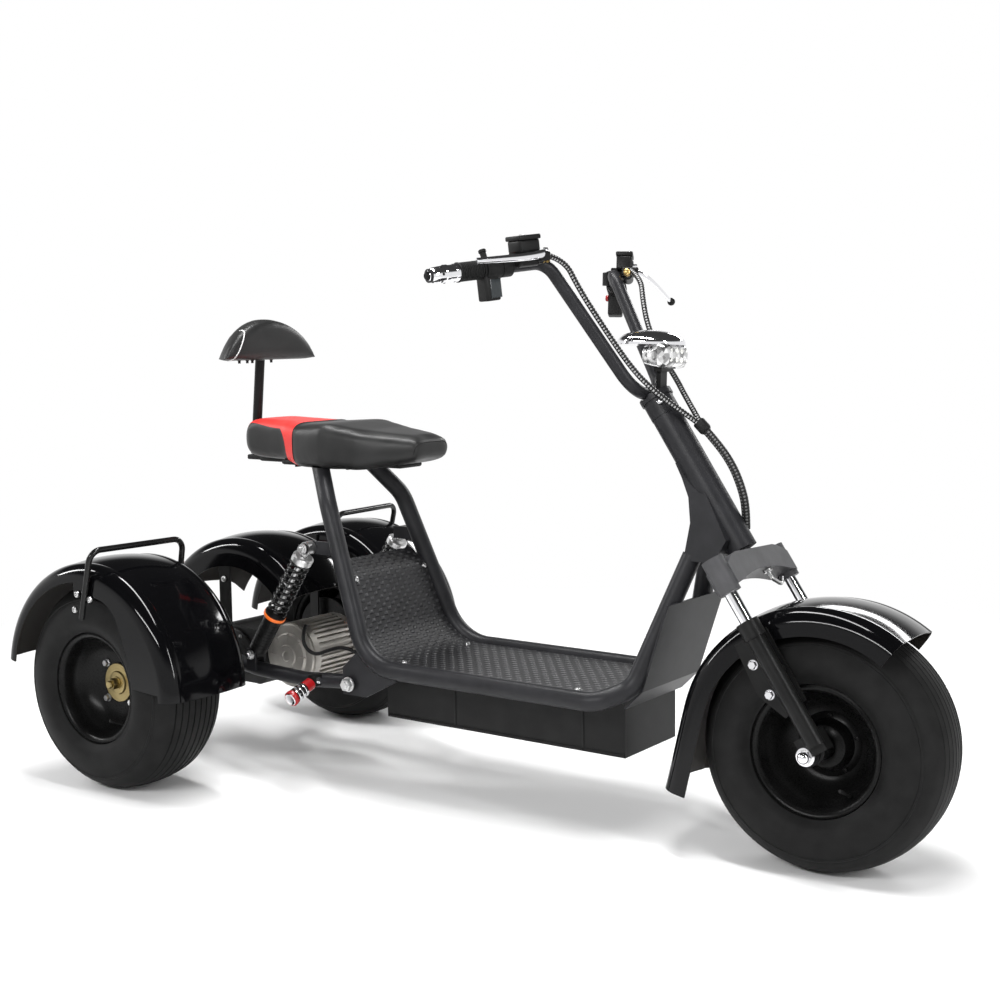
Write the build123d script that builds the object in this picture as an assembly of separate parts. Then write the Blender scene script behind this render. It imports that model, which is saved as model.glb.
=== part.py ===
# Three-wheeled electric scooter: fat tyres, tube frame with a low footboard, live rear axle and tall handlebar.
# +X is forward, +Y the rider's left and +Z up, in millimetres. The origin is on the ground, mid length and width.
import math
import os

from build123d import *

os.makedirs("parts", exist_ok=True)

# Overall layout
WHEELBASE = 1483.0
REAR_TRACK = 748.0
REAR_AXLE_X = -717.0
FRONT_AXLE_X = REAR_AXLE_X + WHEELBASE

# Tyres and rims: 18 x 9.5 on 8 inch rims
TYRE_R = 228.5
TYRE_HALF_W = 104.0
TREAD_HALF_W = 60.0
TYRE_WALL = 12.0
RIM_FLANGE_R = 118.9
RIM_HALF_W = 82.3
BEAD_SEAT_R = 104.0
RIM_WALL = 3.0

# Steering axis
RAKE = 33.46
TRAIL = 194.5
STEER_REST = 5.56

# Frame tubes
TUBE_R = 19.0
TUBE_WALL = 2.5
DECK_Y = 162.0
DECK_TUBE_Z = 281.0
HEAD_R = 29.0
HEAD_BORE_R = 25.5
HEAD_BOTTOM_S = 682.0
HEAD_TOP_S = 977.0
STEERER_R = 15.0
BEARING_GAP = 0.05
SEAT_GAP = 0.3

# Fork
LEG_Y = 146.0
STANCHION_R = 12.0
LOWER_LEG_R = 16.5
AXLE_R = 7.5

AXLE_Z = TYRE_R
parts = {}


def rear(d):
    """X of a point d mm ahead of the rear axle."""
    return REAR_AXLE_X + d


def front(d):
    """X of a point d mm behind the front axle."""
    return FRONT_AXLE_X - d


def keep(name, *solids):
    """Store one node made of one or more separate solids."""
    flat = []
    for s in solids:
        flat.extend(s.solids())
    parts[name] = flat[0] if len(flat) == 1 else Compound(flat)


def bar(a, b, r, bore=0.0):
    """Round bar from a to b, or a tube when a bore radius is given."""
    a = Vector(*a)
    b = Vector(*b)
    length = (b - a).length
    seat = Plane(origin=a, z_dir=b - a)
    foot = (Align.CENTER, Align.CENTER, Align.MIN)
    body = seat * Cylinder(r, length, align=foot)
    if bore:
        body = body - seat * Cylinder(bore, length, align=foot)
    return body


def bent_path(points, radii):
    """Straight runs through the points, joined by tangent arcs of the given radii."""
    pts = [Vector(*p) for p in points]
    edges = []
    start = pts[0]
    for i, r in enumerate(radii):
        a, b, c = pts[i], pts[i + 1], pts[i + 2]
        u = (a - b).normalized()
        v = (c - b).normalized()
        half = math.acos(max(-1.0, min(1.0, u.dot(v)))) / 2
        reach = r / math.tan(half)
        t1 = b + u * reach
        t2 = b + v * reach
        mid = b + (u + v).normalized() * (r / math.sin(half) - r)
        edges.append(Line(start, t1))
        edges.append(ThreePointArc(t1, mid, t2))
        start = t2
    edges.append(Line(start, pts[-1]))
    return Wire(edges)


def bent_rod(points, radii, r, wall=0.0):
    """Round rod, or tube with a wall, along a bent path."""
    path = bent_path(points, radii)
    seat = Plane(origin=path @ 0, z_dir=path % 0)
    rod = sweep(seat * Circle(r), path=path)
    if wall:
        rod = rod - sweep(seat * Circle(r - wall), path=path)
    return rod


def cord(name, points, r):
    """Round cord along hand-picked points, with each bend as wide as its two runs allow."""
    pts = [Vector(*p) for p in points]
    radii = []
    for a, b, c in zip(pts, pts[1:], pts[2:]):
        before = b - a
        after = c - b
        turn = math.radians(before.get_angle(after))
        radii.append(0.45 * min(before.length, after.length) / math.tan(turn / 2))
    print(name, "bend radii", [round(v) for v in radii])
    return bent_rod(points, radii, r)


def box_between(lo, hi):
    """Axis-aligned box between two corners."""
    size = [h - l for l, h in zip(lo, hi)]
    centre = [(h + l) / 2 for l, h in zip(lo, hi)]
    return Pos(*centre) * Box(*size)


def ring_y(profile, x, y, z):
    """Revolve a closed outline of (y, r) corners about a crosswise axis through (x, z)."""
    wire = Polyline(*[(0, a, r) for a, r in profile], close=True)
    return Pos(x, y, z) * revolve(make_face(wire), Axis.Y)


def flip(p):
    return (p[0], -p[1], p[2])


# Steering frame: s runs up the steering axis from the ground, y is crosswise, e is ahead of the axis.
RAKE_SIN = math.sin(math.radians(RAKE))
RAKE_COS = math.cos(math.radians(RAKE))
AXIS_FOOT = (FRONT_AXLE_X + TRAIL, 0.0, 0.0)
STEER_AXIS = Axis(AXIS_FOOT, (-RAKE_SIN, 0, RAKE_COS))


def st(s, y, e):
    """Point in the steering frame, wheel straight ahead."""
    return (AXIS_FOOT[0] - s * RAKE_SIN + e * RAKE_COS, y, s * RAKE_COS + e * RAKE_SIN)


def sxz(x, z):
    """s and e of a point given by its X from the rear axle and its height."""
    dx = rear(x) - AXIS_FOOT[0]
    return (-dx * RAKE_SIN + z * RAKE_COS, dx * RAKE_COS + z * RAKE_SIN)


def keep_steered(name, *solids):
    """Store a node of the steering body, turned to the rest angle."""
    keep(name, *[s.rotate(STEER_AXIS, STEER_REST) for s in solids])


STEER_PLANE = Plane(origin=AXIS_FOOT, x_dir=(0, 1, 0), z_dir=(-RAKE_SIN, 0, RAKE_COS))


def slab(outline, s0, s1):
    """Prism across the steering axis from a closed outline of (y, e) corners, between s0 and s1."""
    wire = Polyline(*[(e_y, -e_e) for e_y, e_e in outline], close=True)
    face = make_face(wire)
    flat = Plane(origin=st(s0, 0, 0), x_dir=(0, 1, 0), z_dir=STEER_PLANE.z_dir)
    return flat * extrude(face, s1 - s0)


# Wheels
def tyre(x, y, z):
    """Hollow tyre with arcs for crown, shoulder and sidewall, open towards the rim."""
    bead_y = RIM_HALF_W - RIM_WALL - SEAT_GAP
    bead_r = BEAD_SEAT_R + SEAT_GAP
    top = RIM_FLANGE_R + 0.5
    half = TYRE_HALF_W
    t = TREAD_HALF_W

    def side(k):
        return [
            ((k * 62, bead_r), None, (k * bead_y, bead_r)),
            ((k * bead_y, bead_r), None, (k * bead_y, top)),
            ((k * bead_y, top), None, (k * (RIM_HALF_W + 2), top)),
            ((k * (RIM_HALF_W + 2), top), (k * (half - 2), 132), (k * (half - 0.5), 150)),
            ((k * (half - 0.5), 150), (k * 89, 190), (k * t, 220.5)),
        ]

    def inner(k):
        return [
            ((k * 50, 208.5), (k * 77, 182), (k * 90.5, 150)),
            ((k * 90.5, 150), (k * 88, 134), (k * 68, 120)),
            ((k * 68, 120), None, (k * 62, bead_r)),
        ]

    spans = side(1)
    spans.append(((t, 220.5), (0, TYRE_R), (-t, 220.5)))
    spans += [(c, b, a) for a, b, c in reversed(side(-1))]
    spans += [(c, b, a) for a, b, c in reversed(inner(-1))]
    spans.append(((-50, 208.5), (0, TYRE_R - TYRE_WALL), (50, 208.5)))
    spans += inner(1)
    edges = []
    for a, b, c in spans:
        p = (0, a[0], a[1])
        q = (0, c[0], c[1])
        if b is None:
            edges.append(Line(p, q))
        else:
            edges.append(ThreePointArc(p, (0, b[0], b[1]), q))
    return Pos(x, y, z) * revolve(make_face(Wire(edges)), Axis.Y)


def rim(x, y, z, disc_y, disc_bore):
    """Steel rim: barrel with a step, rolled flanges and a dished disc at disc_y from its centre."""
    b0 = BEAD_SEAT_R - RIM_WALL
    w = RIM_HALF_W
    barrel = [
        (-w, b0), (-w, RIM_FLANGE_R), (-w + RIM_WALL, RIM_FLANGE_R), (-w + RIM_WALL, BEAD_SEAT_R),
        (-50, BEAD_SEAT_R), (-44, 92), (44, 92), (50, BEAD_SEAT_R),
        (w - RIM_WALL, BEAD_SEAT_R), (w - RIM_WALL, RIM_FLANGE_R), (w, RIM_FLANGE_R), (w, b0),
        (51.5, b0), (45.5, 89), (-45.5, 89), (-51.5, b0),
    ]
    disc = [(disc_y - 2, disc_bore), (disc_y + 2, disc_bore), (disc_y + 2, 89.5), (disc_y - 2, 89.5)]
    return ring_y(barrel, x, y, z) + ring_y(disc, x, y, z)


WHEELS = [
    # name, x, y, disc offset towards the outside
    ("rear_right", REAR_AXLE_X, -REAR_TRACK / 2, -16.0),
    ("rear_left", REAR_AXLE_X, REAR_TRACK / 2, 16.0),
]
REAR_SHAFT_R = 14.0
HUB_REACH = 112.0
HOUSING_END_Y = REAR_TRACK / 2 - HUB_REACH
BRAKE_DISC_R = 88.0
for name, x, y, disc_y in WHEELS:
    k = 1 if y > 0 else -1
    keep(name + "_tyre", tyre(x, y, AXLE_Z))
    keep(name + "_rim", rim(x, y, AXLE_Z, disc_y, 31.0))
    face = y + disc_y + k * (2.0 + SEAT_GAP)
    back = y + disc_y - k * (2.0 + SEAT_GAP)
    hub = bar((x, face, AXLE_Z), (x, face + k * 8, AXLE_Z), 62)
    for i in range(4):
        a = math.radians(45 + 90 * i)
        c = (x + 55 * math.cos(a), AXLE_Z + 55 * math.sin(a))
        hub = hub + bar((c[0], face + k * 8, c[1]), (c[0], face + k * 18, c[1]), 8)
    hub = hub + bar((x, face, AXLE_Z), (x, face + k * 32, AXLE_Z), 18)
    hub = hub + bar((x, face, AXLE_Z), (x, back, AXLE_Z), 30.5)
    hub = hub + bar((x, back, AXLE_Z), (x, k * (HOUSING_END_Y + 6), AXLE_Z), 28)
    hub = hub + bar((x, back, AXLE_Z), (x, back - k * 10, AXLE_Z), 60)
    disc_at = k * (HOUSING_END_Y + 10)
    hub = hub + bar((x, disc_at - k * 2, AXLE_Z), (x, disc_at + k * 2, AXLE_Z), BRAKE_DISC_R)
    hub = hub + bar((x, back, AXLE_Z), (x, k * (HOUSING_END_Y - 40), AXLE_Z), REAR_SHAFT_R)
    keep(name + "_hub", hub)

# Front wheel, built straight ahead and turned with the steering
keep_steered("front_tyre", tyre(FRONT_AXLE_X, 0, AXLE_Z))
keep_steered("front_rim", rim(FRONT_AXLE_X, 0, AXLE_Z, 0, 31.0))
HUB_HALF = 96.0
hub = bar((FRONT_AXLE_X, -HUB_HALF, AXLE_Z), (FRONT_AXLE_X, HUB_HALF, AXLE_Z), 26)
hub = hub + bar((FRONT_AXLE_X, 2.3, AXLE_Z), (FRONT_AXLE_X, 10, AXLE_Z), 60)
hub = hub + bar((FRONT_AXLE_X, -2.3, AXLE_Z), (FRONT_AXLE_X, -10, AXLE_Z), 60)
hub = hub + bar((FRONT_AXLE_X, -3, AXLE_Z), (FRONT_AXLE_X, 3, AXLE_Z), 30.5)
hub = hub + bar((FRONT_AXLE_X, 88, AXLE_Z), (FRONT_AXLE_X, 92, AXLE_Z), BRAKE_DISC_R)
hub = hub - bar((FRONT_AXLE_X, -HUB_HALF, AXLE_Z), (FRONT_AXLE_X, HUB_HALF, AXLE_Z), AXLE_R + BEARING_GAP)
keep_steered("front_hub", hub)

# Fork
SLIDER_BOTTOM_S = 306.0
COLLAR_BOTTOM_S = 518.0
COLLAR_TOP_S = 550.0
CROWN_TOP_S = 675.0
SLEEVE_BOTTOM_S = 608.0
LEG_E = -2.6
axle_s, axle_e = sxz(WHEELBASE, AXLE_Z)
DROP_OUT_IN = 112.0
DROP_OUT_OUT = 120.0
sliders = []
stanchions = []
for side, k in (("right", -1), ("left", 1)):
    y = k * LEG_Y
    slider = bar(st(SLIDER_BOTTOM_S, y, LEG_E), st(COLLAR_BOTTOM_S, y, LEG_E), LOWER_LEG_R)
    slider = slider + bar(st(COLLAR_BOTTOM_S, y, LEG_E), st(COLLAR_TOP_S, y, LEG_E), 21)
    lug = bar(st(axle_s, k * DROP_OUT_IN, axle_e), st(axle_s, k * DROP_OUT_OUT, axle_e), 20)
    lug_arm = slab(
        [(k * DROP_OUT_IN, axle_e - 12), (k * DROP_OUT_IN, LEG_E + 14), (k * LEG_Y, LEG_E + 14),
         (k * LEG_Y, LEG_E - 14), (k * DROP_OUT_OUT, axle_e - 12)],
        axle_s - 6, axle_s + 32)
    lug_arm = lug_arm - bar(st(axle_s, 0, axle_e), st(axle_s, k * 200, axle_e), AXLE_R + SEAT_GAP)
    lug = lug - bar(st(axle_s, 0, axle_e), st(axle_s, k * 200, axle_e), AXLE_R + SEAT_GAP)
    slider = slider + lug + lug_arm
    slider = slider - bar(st(axle_s, k * DROP_OUT_OUT, axle_e), st(axle_s, k * 200, axle_e), 16)
    sliders.append(slider)
    stanchions.append(bar(st(COLLAR_TOP_S + SEAT_GAP, y, LEG_E), st(CROWN_TOP_S + 1, y, LEG_E), STANCHION_R))
keep_steered("fork_sliders", *sliders)
keep_steered("stanchions", *stanchions)

axle = bar(st(axle_s, -DROP_OUT_OUT - 14, axle_e), st(axle_s, DROP_OUT_OUT + 14, axle_e), AXLE_R)
for k in (-1, 1):
    nut_in = DROP_OUT_OUT + SEAT_GAP
    axle = axle + bar(st(axle_s, k * nut_in, axle_e), st(axle_s, k * (nut_in + 16), axle_e), 13)
    collar_in = HUB_HALF + SEAT_GAP
    axle = axle + bar(st(axle_s, k * collar_in, axle_e), st(axle_s, k * (DROP_OUT_IN - SEAT_GAP), axle_e), 12)
keep_steered("front_axle", axle)

CROWN_BACK_E = -28.0
CROWN_FRONT_E = 21.5
LEVEL_HALF = 90.0
ARCH_HALF = 114.0
SLEEVE_R = 21.0


def front_arc(a, b, c):
    """Arc across the front of the fork through three (y, s) points."""
    return ThreePointArc(*[st(s, y, CROWN_BACK_E) for y, s in (a, b, c)])


def front_line(a, b):
    return Line(*[st(s, y, CROWN_BACK_E) for y, s in (a, b)])


crown_edges = [front_line((-LEVEL_HALF, CROWN_TOP_S), (LEVEL_HALF, CROWN_TOP_S))]
crown_edges.append(front_arc((LEVEL_HALF, CROWN_TOP_S), (120, 668), (LEG_Y, 656)))
crown_edges.append(front_line((LEG_Y, 656), (LEG_Y, 616)))
crown_edges.append(front_line((LEG_Y, 616), (ARCH_HALF, 621)))
crown_edges.append(front_arc((ARCH_HALF, 621), (0, 634), (-ARCH_HALF, 621)))
crown_edges.append(front_line((-ARCH_HALF, 621), (-LEG_Y, 616)))
crown_edges.append(front_line((-LEG_Y, 616), (-LEG_Y, 656)))
crown_edges.append(front_arc((-LEG_Y, 656), (-120, 668), (-LEVEL_HALF, CROWN_TOP_S)))
forward = (RAKE_COS, 0, RAKE_SIN)
crown = extrude(make_face(Wire(crown_edges)), CROWN_FRONT_E - CROWN_BACK_E, dir=forward)
for k in (-1, 1):
    crown = crown + bar(st(SLEEVE_BOTTOM_S, k * LEG_Y, LEG_E), st(CROWN_TOP_S + 1, k * LEG_Y, LEG_E), SLEEVE_R)
for k in (-1, 1):
    crown = crown - bar(st(SLEEVE_BOTTOM_S - 9, k * LEG_Y, LEG_E), st(CROWN_TOP_S + 9, k * LEG_Y, LEG_E),
                        STANCHION_R + SEAT_GAP)
keep_steered("fork_crown", crown)

# Hose guide under the crown: a bent strip on its left half
HOOK_Y = 44.0
hook_points = [st(633.3, HOOK_Y, 6), st(612, HOOK_Y, 6), st(598, HOOK_Y + 26, 6), st(612, HOOK_Y + 46, 6)]
hook = bent_rod(hook_points, [8, 12], 4)
hook = hook + bar(st(627.5, HOOK_Y, 6), st(632.2, HOOK_Y, 6), 9)
hook = hook - extrude(make_face(Wire(crown_edges)), CROWN_FRONT_E - CROWN_BACK_E + 20, dir=forward)
hook = hook.solids().sort_by(SortBy.VOLUME)[-1]
keep_steered("crown_hook", hook)

# Steerer, stem and handlebar
STEM_R = 30.0
COLLAR_R = 33.0
STEM_SHOULDER_S = 1012.0
STEM_TOP_S = 1024.0
BAR_R = 12.5
BAR_S = 1032.0
BAR_E = -8.6
CLAMP_HALF = 15.0
steerer = bar(st(CROWN_TOP_S + SEAT_GAP, 0, 0), st(HEAD_TOP_S + 2, 0, 0), STEERER_R)
steerer = steerer + bar(st(HEAD_TOP_S + SEAT_GAP, 0, 0), st(STEM_TOP_S, 0, 0), STEM_R)
steerer = steerer + bar(st(STEM_SHOULDER_S, 0, 0), st(STEM_TOP_S, 0, 0), COLLAR_R)
steerer = steerer - bar(st(BAR_S, -200, BAR_E), st(BAR_S, 200, BAR_E), BAR_R + SEAT_GAP)
corner_room = bar(st(BAR_S, 16, BAR_E), st(BAR_S + 14, 46, BAR_E), BAR_R + 3)
steerer = steerer - corner_room - mirror(corner_room, Plane.XZ)
keep_steered("stem", steerer.solids().sort_by(SortBy.VOLUME)[-1])

BEND_BACK = 537.0
BEND_Y = 139.0
BEND_Z = 1100.0
END_BACK = 641.0
END_Y = 380.0
END_Z = 1058.0
half_bar = [st(BAR_S, 62, BAR_E), (front(BEND_BACK), BEND_Y, BEND_Z), (front(END_BACK), END_Y, END_Z)]
bar_points = [flip(p) for p in reversed(half_bar)] + half_bar
keep_steered("handlebar", bent_rod(bar_points, [40, 60, 60, 40], BAR_R))


def along_grip(d, k):
    """Point d mm inboard of the bar's end on side k."""
    a = Vector(front(END_BACK), k * END_Y, END_Z)
    b = Vector(front(BEND_BACK), k * BEND_Y, BEND_Z)
    p = a + (b - a).normalized() * d
    return (p.X, p.Y, p.Z)


GRIP_IN = 150.0
GRIP_OUT = 34.0
LEVER_REACH = 92.0
grips = []
bar_ends = []
pods = []
masters = []
master_rooms = []
levers = []
for side, k in (("right", -1), ("left", 1)):
    bore = BAR_R + SEAT_GAP
    bar_room = bar(along_grip(-40, k), along_grip(264, k), bore)
    grips.append(bar(along_grip(GRIP_OUT, k), along_grip(GRIP_IN, k), 17, bore))
    end = bar(along_grip(GRIP_OUT - SEAT_GAP, k), along_grip(-SEAT_GAP, k), 16.5, bore)
    end = end + bar(along_grip(-SEAT_GAP, k), along_grip(-8, k), 16.5)
    end = end + bar(along_grip(-8, k), along_grip(-34, k), 11)
    bar_ends.append(end)
    p = along_grip(GRIP_IN + 16, k)
    pod = bar(along_grip(GRIP_IN + 2, k), along_grip(GRIP_IN + 30, k), 19)
    pod = pod + box_between((p[0] + 6, p[1] - 13, p[2] - 62), (p[0] + 22, p[1] + 13, p[2] - 2))
    pod = pod - bar_room
    pods.append(pod)
    q = along_grip(GRIP_IN + 62, k)
    body = bar(along_grip(GRIP_IN + 50, k), along_grip(GRIP_IN + 76, k), 18)
    body = body + box_between((q[0] + 6, q[1] - 22, q[2] + 6), (q[0] + 44, q[1] + 22, q[2] + 46))
    body = body - bar_room - bar(along_grip(GRIP_IN - 4, k), along_grip(GRIP_IN + 34, k), 24)
    body = body.solids().sort_by(SortBy.VOLUME)[-1]
    masters.append(body)
    near = (q[0] + 6 - SEAT_GAP, q[1] - 22 - SEAT_GAP, q[2] + 6 - SEAT_GAP)
    far = (q[0] + 44 + SEAT_GAP, q[1] + 22 + SEAT_GAP, q[2] + 46 + SEAT_GAP)
    master_rooms.append(box_between(near, far))
    tip = along_grip(GRIP_OUT + 4, k)
    tip = (tip[0] + LEVER_REACH, tip[1], tip[2] + 10)
    pivot = (q[0] + 52, q[1] + k * 8, q[2] + 16)
    elbow = (q[0] + 84, q[1] + k * 62, q[2] + 14)
    lever = bent_rod([pivot, elbow, tip], [70], 6) + Pos(*tip) * Sphere(9)
    lever = lever + bar((q[0] + 44.3, pivot[1], pivot[2]), (q[0] + 58, pivot[1], pivot[2]), 8)
    lever = lever - box_between((q[0] - 20, q[1] - 40, q[2] - 20), (q[0] + 44.3, q[1] + 40, q[2] + 60))
    levers.append(lever.solids().sort_by(SortBy.VOLUME)[-1])
keep_steered("grips", *grips)
keep_steered("bar_ends", *bar_ends)
keep_steered("switch_pods", *pods)
keep_steered("master_cylinders", *masters)
keep_steered("brake_levers", *levers)

# Headlight
LAMP_BACK = front(379)
LAMP_FRONT = front(341)
LAMP_Z0 = 905.0
LAMP_Z1 = 955.0
LAMP_HALF = 58.0
LAMP_MID_Z = (LAMP_Z0 + LAMP_Z1) / 2


def lamp_section(x, half, height, corner):
    """Rounded rectangle across the lamp at x."""
    plane = Plane(origin=(x, 0, LAMP_MID_Z), x_dir=(0, 1, 0), z_dir=(1, 0, 0))
    return plane * RectangleRounded(2 * half, height, corner)


lamp = loft([lamp_section(LAMP_BACK, 40, 34, 14), lamp_section(LAMP_FRONT, LAMP_HALF, 50, 18)], ruled=True)
keep_steered("headlight_housing", lamp)
lens = loft([lamp_section(LAMP_FRONT + SEAT_GAP, LAMP_HALF, 50, 18), lamp_section(LAMP_FRONT + 12, 53, 44, 16),
             lamp_section(LAMP_FRONT + 20, 38, 30, 12)], ruled=True)
keep_steered("headlight_lens", lens)
VISOR_Z = LAMP_Z1 + SEAT_GAP
visor_face = make_face(Wire([
    ThreePointArc((front(375), -62, VISOR_Z), (front(323), 0, VISOR_Z), (front(375), 62, VISOR_Z)),
    ThreePointArc((front(375), 62, VISOR_Z), (front(417), 0, VISOR_Z), (front(375), -62, VISOR_Z)),
]))
keep_steered("headlight_visor", extrude(visor_face, 6, dir=(0, 0, 1)))
POST_X = front(361)
bracket = bar(st(STEM_SHOULDER_S - 24, 0, 0), st(STEM_SHOULDER_S - 5, 0, 0), STEM_R + 4)
bracket = bracket + box_between((POST_X, -14, 838), (POST_X + 9, 14, LAMP_Z0 + 6))
bracket = bracket + box_between((POST_X, -26, LAMP_Z0 - 6), (POST_X + 16, 26, LAMP_Z0 + 4))
bracket = bracket - lamp
bracket = bracket - bar(st(STEM_SHOULDER_S - 60, 0, 0), st(STEM_SHOULDER_S - 0.3, 0, 0), STEM_R + SEAT_GAP)
bracket = bracket - bar(st(STEM_SHOULDER_S - 0.3, 0, 0), st(STEM_TOP_S + 0.3, 0, 0), COLLAR_R + SEAT_GAP)
bracket = bracket.solids().sort_by(SortBy.VOLUME)[-1]
keep_steered("headlight_bracket", bracket)

# Fenders
FENDER_T = 3.0
REAR_FENDER_R = 277.0
REAR_FENDER_HALF = 115.0
CENTRE_FENDER_R = 264.0
CENTRE_FENDER_HALF = 108.0
FRONT_FENDER_R = 265.0
FRONT_FENDER_HALF = 114.0


def fender_section(crown_r, flange_r, half_w, t):
    """Closed (y, r) section: crowned top, tight shoulders and side walls down to flange_r."""

    def arc(k, a, b, c):
        return ThreePointArc(*[(0, k * y, r) for y, r in (a, b, c)])

    def line(a, b):
        return Line((0, a[0], a[1]), (0, b[0], b[1]))

    edges = []
    for inset, flip_way in ((0, 1), (t, -1)):
        top = crown_r - inset
        brow = (half_w - 38, crown_r - 7 - inset)
        knee = (half_w - 9 - inset * 0.7, crown_r - 17 - inset * 0.7)
        hip = (half_w - inset, crown_r - 42)
        edges.append(ThreePointArc((0, -brow[0], brow[1]), (0, 0, top), (0, brow[0], brow[1])))
        for k in (-1, 1):
            edges.append(arc(k, brow, knee, hip))
            edges.append(line((k * hip[0], hip[1]), (k * hip[0], flange_r)))
    for k in (-1, 1):
        edges.append(line((k * half_w, flange_r), (k * (half_w - t), flange_r)))
    return make_face(Wire(edges))


def fender_shell(x, y, z, crown_r, flange_r, half_w, start, sweep_deg, tail=0.0):
    """Shell swept round the wheel from start degrees, with a straight tail at its rear edge."""
    face = fender_section(crown_r, flange_r, half_w, FENDER_T)
    shell = revolve(face, Axis.Y, sweep_deg)
    if tail:
        shell = shell + extrude(face, tail, dir=(-1, 0, 0))
    return Pos(x, y, z) * shell.rotate(Axis.Y, start)


# Side plate of the rear fenders: its free edge from the top round to the front foot, (x from the axle, z)
PLATE_R = REAR_FENDER_R - 42
PLATE_T = 2.5
plate_back = (-20, AXLE_Z + math.sqrt(PLATE_R ** 2 - 20 ** 2))
plate_foot_z = 247.0
plate_foot = (math.sqrt(PLATE_R ** 2 - (plate_foot_z - AXLE_Z) ** 2), plate_foot_z)
plate_mid = (PLATE_R * math.sin(math.radians(43)), AXLE_Z + PLATE_R * math.cos(math.radians(43)))


def side_plate(y):
    """Flat valance between the fender's arc and its free edge, drawn at y."""
    free = [(-20, 432), (52, 432), (115, 383), (140, 322), (154, 252)]
    pts = [(rear(a), y, b) for a, b in free]
    edges = [Line(pts[0], pts[1])]
    edges.append(ThreePointArc(pts[1], (rear(90), y, 416), pts[2]))
    edges.append(Line(pts[2], pts[3]))
    edges.append(Line(pts[3], pts[4]))
    foot = (rear(plate_foot[0]), y, plate_foot[1])
    back = (rear(plate_back[0]), y, plate_back[1])
    edges.append(Line(pts[4], foot))
    edges.append(ThreePointArc(foot, (rear(plate_mid[0]), y, plate_mid[1]), back))
    edges.append(Line(back, pts[0]))
    return make_face(Wire(edges))


for name, k in (("rear_fender_right", -1), ("rear_fender_left", 1)):
    y = k * REAR_TRACK / 2
    shell = fender_shell(REAR_AXLE_X, y, AXLE_Z, REAR_FENDER_R, REAR_FENDER_R - 45, REAR_FENDER_HALF, -81, 170)
    outside = y + k * REAR_FENDER_HALF
    shell = shell + extrude(side_plate(outside), PLATE_T, dir=(0, -k, 0))
    keep(name, shell)
keep("centre_fender", fender_shell(rear(55), 0, 255, CENTRE_FENDER_R, 196, CENTRE_FENDER_HALF, -62, 117))
keep_steered("front_fender", fender_shell(FRONT_AXLE_X, 0, AXLE_Z, FRONT_FENDER_R, 208, FRONT_FENDER_HALF,
                                          -78, 114, 160))
STAY_OUTLINE = [(528, -58), (528, 12), (384, 12), (372, -40), (430, -66)]
stays = []
for k in (-1, 1):
    y = k * (114 + SEAT_GAP)
    face = make_face(Polyline(*[st(a, y, b) for a, b in STAY_OUTLINE], close=True))
    stay = extrude(face, 4, dir=(0, k, 0))
    stay = stay + bar(st(450, y, LEG_E), st(450, k * LEG_Y, LEG_E), 10)
    stay = stay - bar(st(400, k * LEG_Y, LEG_E), st(500, k * LEG_Y, LEG_E), LOWER_LEG_R + SEAT_GAP)
    stays.append(stay.solids().sort_by(SortBy.VOLUME)[-1])
keep_steered("front_fender_stays", *stays)

# Main hoops: under the seat, down, along the deck, up to the head tube
HOOP_POINTS = [
    (rear(311), 75, 702), (rear(379), 125, 614), (rear(512), DECK_Y, DECK_TUBE_Z), (front(405), DECK_Y, DECK_TUBE_Z),
    (front(352), 112, 305), (front(269), 34, 556),
]
HOOP_RADII = [100, 112, 60, 60]
HOOP_TOP_Z = 688.0


def hoop_room(k):
    """Outside of a main hoop with a small gap, to seat other pieces against it."""
    return bent_rod([(x, k * y, z) for x, y, z in HOOP_POINTS], HOOP_RADII, TUBE_R + SEAT_GAP)


for side, k in (("right", -1), ("left", 1)):
    pts = [(x, k * y, z) for x, y, z in HOOP_POINTS]
    hoop = bent_rod(pts, HOOP_RADII, TUBE_R, TUBE_WALL)
    hoop = hoop - box_between((rear(200), -200, HOOP_TOP_Z), (rear(420), 200, 800))
    keep("main_hoop_" + side, hoop)

CUP_H = 22.0
head = bar(st(HEAD_BOTTOM_S, 0, 0), st(HEAD_TOP_S, 0, 0), HEAD_R, STEERER_R + BEARING_GAP)
head = head - bar(st(HEAD_BOTTOM_S + CUP_H, 0, 0), st(HEAD_TOP_S - CUP_H, 0, 0), HEAD_BORE_R)
keep("head_tube", head)

GUSSET_SIDE = [
    # mm behind the front axle, z
    (312, 728), (280, 665), (271, 618), (278, 548), (215, 548), (193, 590), (261, 702), (283, 735),
]
GUSSET_FRONT = [(-24, 740), (-24, 700), (-54, 548), (54, 548), (24, 700), (24, 740)]
side_face = make_face(Polyline(*[(front(x), 0, z) for x, z in GUSSET_SIDE], close=True))
front_face = make_face(Polyline(*[(front(383), y, z) for y, z in GUSSET_FRONT], close=True))
gusset = extrude(side_face, 60, both=True) & extrude(front_face, 250, dir=(1, 0, 0))
gusset = gusset - bar(st(HEAD_BOTTOM_S - 60, 0, 0), st(HEAD_TOP_S + 60, 0, 0), HEAD_R + SEAT_GAP)
gusset = gusset - bar(st(560, 0, 0), st(HEAD_BOTTOM_S + 1, 0, 0), 190)
for k in (-1, 1):
    gusset = gusset - hoop_room(k)
gusset = gusset.solids().sort_by(SortBy.VOLUME)[-1]
keep("head_gusset", gusset)

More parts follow.
